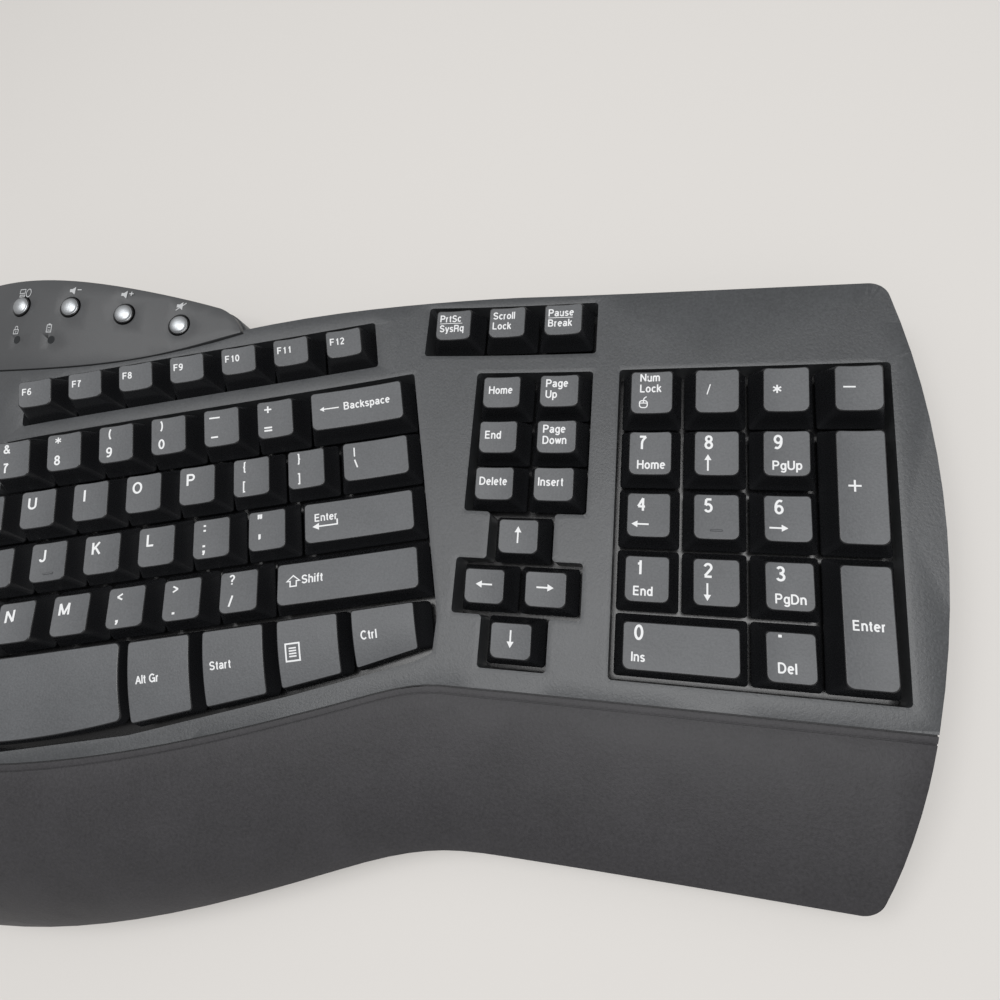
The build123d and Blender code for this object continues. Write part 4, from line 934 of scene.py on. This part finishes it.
THUMB_REAR_Z, THUMB_CREST_Z, THUMB_FRONT_Z = 6.8, 6.9, 3.0
THUMB_DRAFT, THUMB_EDGE = 1.0, 0.55
REAR_INSET, FRONT_INSET = 2.0, 3.5
CREST_SHARE = 0.47
THUMB_SINK, BAR_SINK = 0.02, 0.03


def arc_height(y, spots):
    """Height of the circle through three (y, z) spots."""
    (x1, y1), (x2, y2), (x3, y3) = spots
    one, two, three = x1 * x1 + y1 * y1, x2 * x2 + y2 * y2, x3 * x3 + y3 * y3
    twice = 2 * (x1 * (y2 - y3) + x2 * (y3 - y1) + x3 * (y1 - y2))
    cx = (one * (y2 - y3) + two * (y3 - y1) + three * (y1 - y2)) / twice
    cy = (one * (x3 - x2) + two * (x1 - x3) + three * (x2 - x1)) / twice
    radius = math.hypot(x1 - cx, y1 - cy)
    return cy + math.sqrt(max(0, radius * radius - (y - cx) ** 2))


for node, (side, near, far, near_front, far_front, narrowing) in THUMBS.items():
    plane = RIGHT if side > 0 else LEFT
    front = (near_front + far_front) / 2
    middle = THUMB_REAR + (front - THUMB_REAR) * CREST_SHARE
    rear_spot = (-THUMB_REAR + REAR_INSET, THUMB_REAR_Z)
    spots = (rear_spot, (-middle, THUMB_CREST_Z), (-front - FRONT_INSET, THUMB_FRONT_Z))
    low, high = (near, far) if side > 0 else (-far, -near)
    first, last = (near_front, far_front) if side > 0 else (far_front, near_front)

    def patch(x, y, low=low, high=high, first=first, last=last):
        ahead = -first - (last - first) * x / (high - low)
        return low + x, ahead + (-THUMB_REAR - ahead) * y / THUMB_DEEP

    def top(x, y, spots=spots):
        return arc_height(y, spots) - THUMB_SINK

    tile(soups.setdefault(node, Soup()), plane, patch, far - near, THUMB_DEEP, THUMB_RADIUS, top,
         lambda x, y: 0.0, THUMB_DRAFT, THUMB_EDGE, draw=side * narrowing)
    cx, cy = side * (near + far) / 2, -(THUMB_REAR * 2 + near_front + far_front) / 4
    for part, dx, dy in THUMB_WORDS[node]:
        decal(ink.setdefault(node, Soup()), plane, 0, 0, shifted(part, cx + dx, cy + dy), top)

# Deck: a soft crest between the halves blends into the sloping level round the pad
CREST_Z, CREST_SOFT, CREST_SLOPE = 43.85, 22.0, math.tan(math.radians(TENT))
LEVEL_Z, LEVEL_SLOPE, LEVEL_SOFT = 20.75, math.tan(math.radians(PAD_LEAN)), 5.0


def deck_z(x, y):
    """Height of the deck at a spot of the plan."""
    crest = CREST_Z - CREST_SLOPE * (math.sqrt(x * x + CREST_SOFT ** 2) - CREST_SOFT)
    level = LEVEL_Z + LEVEL_SLOPE * y
    return level + (crest - level + math.sqrt((crest - level) ** 2 + LEVEL_SOFT ** 2)) / 2


# Space bar: straight rear sides meet in a soft hollow, the front is a parabola
BAR_LENGTH, BAR_DEEP, BAR_TAPER = 159.2, 26.0, 5.0
BAR_HALF = BAR_LENGTH / 2
BEND_HALF, BEND_Y, BEND_DEEP, BAR_SLOPE = 24.0, -98.8, 2.4, 0.2154
BAR_FRONT, BAR_SWEEP = -127.5, 14.3
BAR_SOFT, BAR_INSET = 12.8, 2.6
BAR_REAR_Z, BAR_CREST_Z, BAR_FRONT_Z = 2.0, 2.4, -1.0
BAR_FOOT, BAR_RADIUS, BAR_DRAFT, BAR_EDGE = 2.55, 2.6, 0.7, 0.6
BAR_COUNTS = (60, 14)


def bar_rear(x):
    wide = abs(x)
    if wide > BEND_HALF:
        return BEND_Y + BAR_SLOPE * (wide - BEND_HALF)
    return BEND_Y - BEND_DEEP + BEND_DEEP * (wide / BEND_HALF) ** 2


def bar_front(x):
    return BAR_FRONT + BAR_SWEEP * (x / BAR_HALF) ** 2


def bar_top(x, y):
    rear = BEND_Y - BEND_DEEP + BAR_SLOPE * (math.hypot(x, BAR_SOFT) - BAR_SOFT)
    front = bar_front(x)
    middle = rear + (front - rear) * CREST_SHARE
    level = deck_z(x, middle)
    rear_spot = (rear + BAR_INSET, level + BAR_REAR_Z)
    spots = (rear_spot, (middle, level + BAR_CREST_Z), (front - BAR_INSET, level + BAR_FRONT_Z))
    return arc_height(y, spots) - BAR_SINK


def bar_foot(x, y):
    return deck_z(x, y) - BAR_FOOT


def bar_patch(x, y):
    share = y / BAR_DEEP
    across = (x / BAR_HALF - 1) * (BAR_HALF - BAR_TAPER * share)
    return across, bar_front(across) + (bar_rear(across) - bar_front(across)) * share


tile(soups.setdefault("space_bar", Soup()), PLAN, bar_patch, BAR_LENGTH, BAR_DEEP, BAR_RADIUS, bar_top,
     bar_foot, BAR_DRAFT, BAR_EDGE, BAR_COUNTS)

for node, soup in soups.items():
    # Mark 0 is the key side colour, near black as painted shade; mark 1 the key top colour, lighter as
    # painted light
    mats = [key_side_shaded_mat, key_top_lit_mat]
    obj = make_object(f"cap.{node}", soup.verts, soup.faces, mats, soup.marks, normals=soup.normals)
    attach(obj, node)
    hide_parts(node)
for node, soup in ink.items():
    obj = make_object(f"legend.{node}", soup.verts, soup.faces, [ink_mat], smooth=False)
    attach(obj, node)

# Pod: its front seam sweeps to the rear at both ends, and its top rises from the seam
POD_HALF, POD_DEEP = 92.0, 37.5
SEAM_Y, SEAM_SWEEP = 6.3, 17.0
POD_RISE, POD_CROWN = 5.0, 1.3


def pod_z(x, y):
    """Height of the pod's top at a spot of the plan."""
    out = (x / POD_HALF) ** 2
    along = (y - SEAM_Y) / POD_DEEP
    rise = POD_RISE * (1 - out / 2) * (y - SEAM_Y - SEAM_SWEEP * out) / POD_DEEP
    return deck_z(x, y) + rise - POD_CROWN * along * (along * 2 - 1)


def pod_matrix(x, y):
    lean_x = (pod_z(x + 1, y) - pod_z(x - 1, y)) / 2
    lean_y = (pod_z(x, y + 1) - pod_z(x, y - 1)) / 2
    normal = Vector((-lean_x, -lean_y, 1)).normalized()
    side = Vector((1, 0, lean_x)).normalized()
    ahead = normal.cross(side)
    rot = Matrix((side, ahead, normal)).transposed().to_4x4()
    return Matrix.Translation(Vector((x - MID_X, y - MID_Y, pod_z(x, y)))) @ rot


def lathe(soup, matrix, profile, marks, count=40):
    """Turned body from (radius, height) pairs, closed on top."""
    rings = []
    for radius, height in profile:
        turns = [2 * math.pi * k / count for k in range(count)]
        rings.append([(radius * math.cos(a), radius * math.sin(a), height) for a in turns])
    soup.skin(matrix, rings, marks)


MEDIA = ("stop", "play", "next", "device", "softer", "louder", "mute")
MEDIA_STEP, MEDIA_Y, MEDIA_SWEEP = 22.3, 32.2, 0.72
COLLAR = [(3.88, -3.8), (3.88, 0.15), (3.84, 0.3), (3.7, 0.42), (3.45, 0.42), (3.4, 0.5)]
DOME_RADIUS, DOME_FOOT, DOME_RISE = 3.3, 0.5, 1.15
DOME_TURNS = [math.radians(a) for a in (0, 12, 25, 40, 55, 70, 82)]
DOME = [(DOME_RADIUS * math.cos(a), DOME_FOOT + DOME_RISE * math.sin(a)) for a in DOME_TURNS]
for n, name in enumerate(MEDIA):
    step = n - len(MEDIA) // 2
    soup = Soup()
    spot = pod_matrix(step * MEDIA_STEP, MEDIA_Y - MEDIA_SWEEP * step * step)
    lathe(soup, spot, COLLAR + DOME, [1] * (len(COLLAR) - 1) + [0] * (len(DOME) + 1))
    obj = make_object(f"button.{name}", soup.verts, soup.faces, [silver_mat, frame_mat], soup.marks)
    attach(obj, f"media_button_{name}")
    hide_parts(f"media_button_{name}")


def play_icon():
    return solid([(-0.9, -1.0), (0.9, 0), (-0.9, 1.0)])


def next_icon():
    return joined(play_icon(), stroke([(1.2, -1), (1.2, 1)], 0.3))


def stop_icon():
    return solid([(-0.9, -0.9), (0.9, -0.9), (0.9, 0.9), (-0.9, 0.9)])


ICON_LIFT = 0.12
ICONS = (
    (0.6, 37.6, screens_icon(), 1.5),
    (22.8, 38.3, speaker("-"), 1.4),
    (44.2, 37.2, speaker("+"), 1.4),
    (66.8, 33.4, speaker("x"), 1.4),
    (-0.2, 22.4, lock_icon(), 1.3),
    (15.0, 22.9, battery_icon(), 1.3),
    (-22.3, 38.0, next_icon(), 1.0),
    (-44.6, 36.0, play_icon(), 1.0),
    (-66.9, 31.8, stop_icon(), 1.0),
)
soup = Soup()
for x, y, part, scale in ICONS:
    decal(soup, PLAN, 0, 0, shifted(part, x, y, scale), pod_z, ICON_LIFT)
obj = make_object("legend.media_panel", soup.verts, soup.faces, [fine_ink_mat], smooth=False)
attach(obj, "body")

# Groove floor: a dark ribbon in the groove between deck and palm rest
GROOVE_Y, GROOVE_SWEEP, GROOVE_HALF, GROOVE_SOFT = -92.6, 39.4, 170.0, 0.04
GROOVE_LEFT, GROOVE_RIGHT, GROOVE_STEPS = -181.3, 310.9, 300
GROOVE_SINK = 0.75
RIBBON = ((0.05, 0), (-0.25, 0.06), (-0.55, 0), (-0.55, 3), (0.05, 3))


def groove_y(x):
    """Line of the groove: a soft half wave in front of the letter field, straight beside it."""
    wave = math.cos(math.pi * x / GROOVE_HALF / 2)
    return GROOVE_Y - GROOVE_SWEEP * (wave + math.hypot(wave, GROOVE_SOFT)) / 2


verts, faces = [], []
sides = len(RIBBON)
for n in range(GROOVE_STEPS + 1):
    x = GROOVE_LEFT + (GROOVE_RIGHT - GROOVE_LEFT) * n / GROOVE_STEPS
    y = groove_y(x)
    z = deck_z(x, y) - GROOVE_SINK
    verts += [(x - MID_X, y + offset - MID_Y, z - depth) for offset, depth in RIBBON]
for n in range(GROOVE_STEPS):
    for k in range(sides):
        j = (k + 1) % sides
        faces.append(tuple(sides * n + i for i in (k, j, sides + j, sides + k)))
faces += [tuple(range(sides)), tuple(range(len(verts) - 1, len(verts) - 1 - sides, -1))]
obj = make_object("groove_floor", verts, faces, [base_mat], smooth=False)
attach(obj, "body")

# Solids that show as they are
LOOKS = {
    "top_case": case_mat,
    "palm_rest": palm_mat,
    "media_panel": pod_mat,
    "bottom_case": base_mat,
    "key_frame": frame_mat,
    "membranes": film_mat,
    "backing_plates": steel_mat,
    "rubber_domes": dome_mat,
    "controller_board": board_mat,
    "media_switch_board": board_mat,
    "battery_cells": cell_mat,
    "battery_contacts": steel_mat,
    "case_screws": steel_mat,
    "rubber_feet": foot_mat,
    "indicator_lenses": lens_mat,
    "battery_door": base_mat,
    "tilt_leg_left": base_mat,
    "tilt_leg_right": base_mat,
    "power_switch": base_mat,
}
for node, mat in LOOKS.items():
    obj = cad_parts[node]
    obj.data.materials.clear()
    obj.data.materials.append(mat)

SHARP_ANGLE, WELD_REACH = 35.0, 0.00001


def soften(node, width):
    """Rounds the sharp edges of a solid."""
    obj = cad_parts[node]
    weld = obj.modifiers.new("weld", "WELD")
    weld.merge_threshold = WELD_REACH
    bevel = obj.modifiers.new("bevel", "BEVEL")
    bevel.width = width * MM
    bevel.segments = 2
    bevel.limit_method = "ANGLE"
    bevel.angle_limit = math.radians(SHARP_ANGLE)
    bevel.use_clamp_overlap = True


for node, width in (("top_case", 0.35), ("palm_rest", 0.4), ("media_panel", 0.4), ("bottom_case", 0.3),
                    ("battery_door", 0.2)):
    soften(node, width)

# Stage, in metres: floor, world, lights and camera
FLOOR_HALF = 3
FLOOR_COLOR, FLOOR_ROUGHNESS, FLOOR_GLOSS = (0.655, 0.637, 0.615), 0.9, 0.1
ROOM_COLOR, ROOM_STRENGTH = (1.0, 0.985, 0.97), 0.40


def floor():
    mat, nodes, links, bsdf = new_material("floor_paper")
    bsdf.inputs["Base Color"].default_value = (*FLOOR_COLOR, 1)
    bsdf.inputs["Roughness"].default_value = FLOOR_ROUGHNESS
    bsdf.inputs["Specular IOR Level"].default_value = FLOOR_GLOSS
    corners = [(-FLOOR_HALF, -FLOOR_HALF, 0), (FLOOR_HALF, -FLOOR_HALF, 0)]
    corners += [(FLOOR_HALF, FLOOR_HALF, 0), (-FLOOR_HALF, FLOOR_HALF, 0)]
    mesh = bpy.data.meshes.new("floor")
    mesh.from_pydata(corners, [], [(0, 1, 2, 3)])
    mesh.materials.append(mat)
    obj = bpy.data.objects.new("floor", mesh)
    bpy.context.collection.objects.link(obj)


def room():
    world = bpy.data.worlds.new("room")
    bpy.context.scene.world = world
    world.use_nodes = True
    background = world.node_tree.nodes["Background"]
    background.inputs["Color"].default_value = (*ROOM_COLOR, 1)
    background.inputs["Strength"].default_value = ROOM_STRENGTH


def area_light(name, spot, target, size, power):
    data = bpy.data.lights.new(name, "AREA")
    data.shape = "RECTANGLE"
    data.size, data.size_y = size
    data.energy = power
    obj = bpy.data.objects.new(name, data)
    obj.location = spot
    obj.rotation_euler = (Vector(target) - Vector(spot)).to_track_quat("-Z", "Y").to_euler()
    bpy.context.collection.objects.link(obj)


floor()
room()
area_light("ceiling", (0.28, -0.06, 1.2), (0.12, 0.0, 0), (0.8, 0.7), 10.0)
area_light("window", (-0.5, 0.35, 1.3), (0.1, 0.0, 0), (0.7, 0.5), 4.0)

CAMERA_SPOT = (0.1763, -0.01195, 0.20575)
CAMERA_FORWARD, CAMERA_RIGHT = (-0.254, 0.2498, -0.9348), (0.967, 0.0864, -0.2391)
SENSOR, LENS, CLIP_START = 36, 22.11, 0.01


def place_camera():
    data = bpy.data.cameras.new("camera")
    data.sensor_width = SENSOR
    data.lens = LENS
    data.clip_start = CLIP_START
    camera = bpy.data.objects.new("camera", data)
    forward = Vector(CAMERA_FORWARD).normalized()
    right = Vector(CAMERA_RIGHT).normalized()
    up = right.cross(forward).normalized()
    turn = Matrix((right, up, -forward)).transposed().to_4x4()
    camera.matrix_world = Matrix.Translation(Vector(CAMERA_SPOT)) @ turn
    bpy.context.collection.objects.link(camera)
    bpy.context.scene.camera = camera


place_camera()
bpy.context.scene.view_settings.view_transform = "Standard"
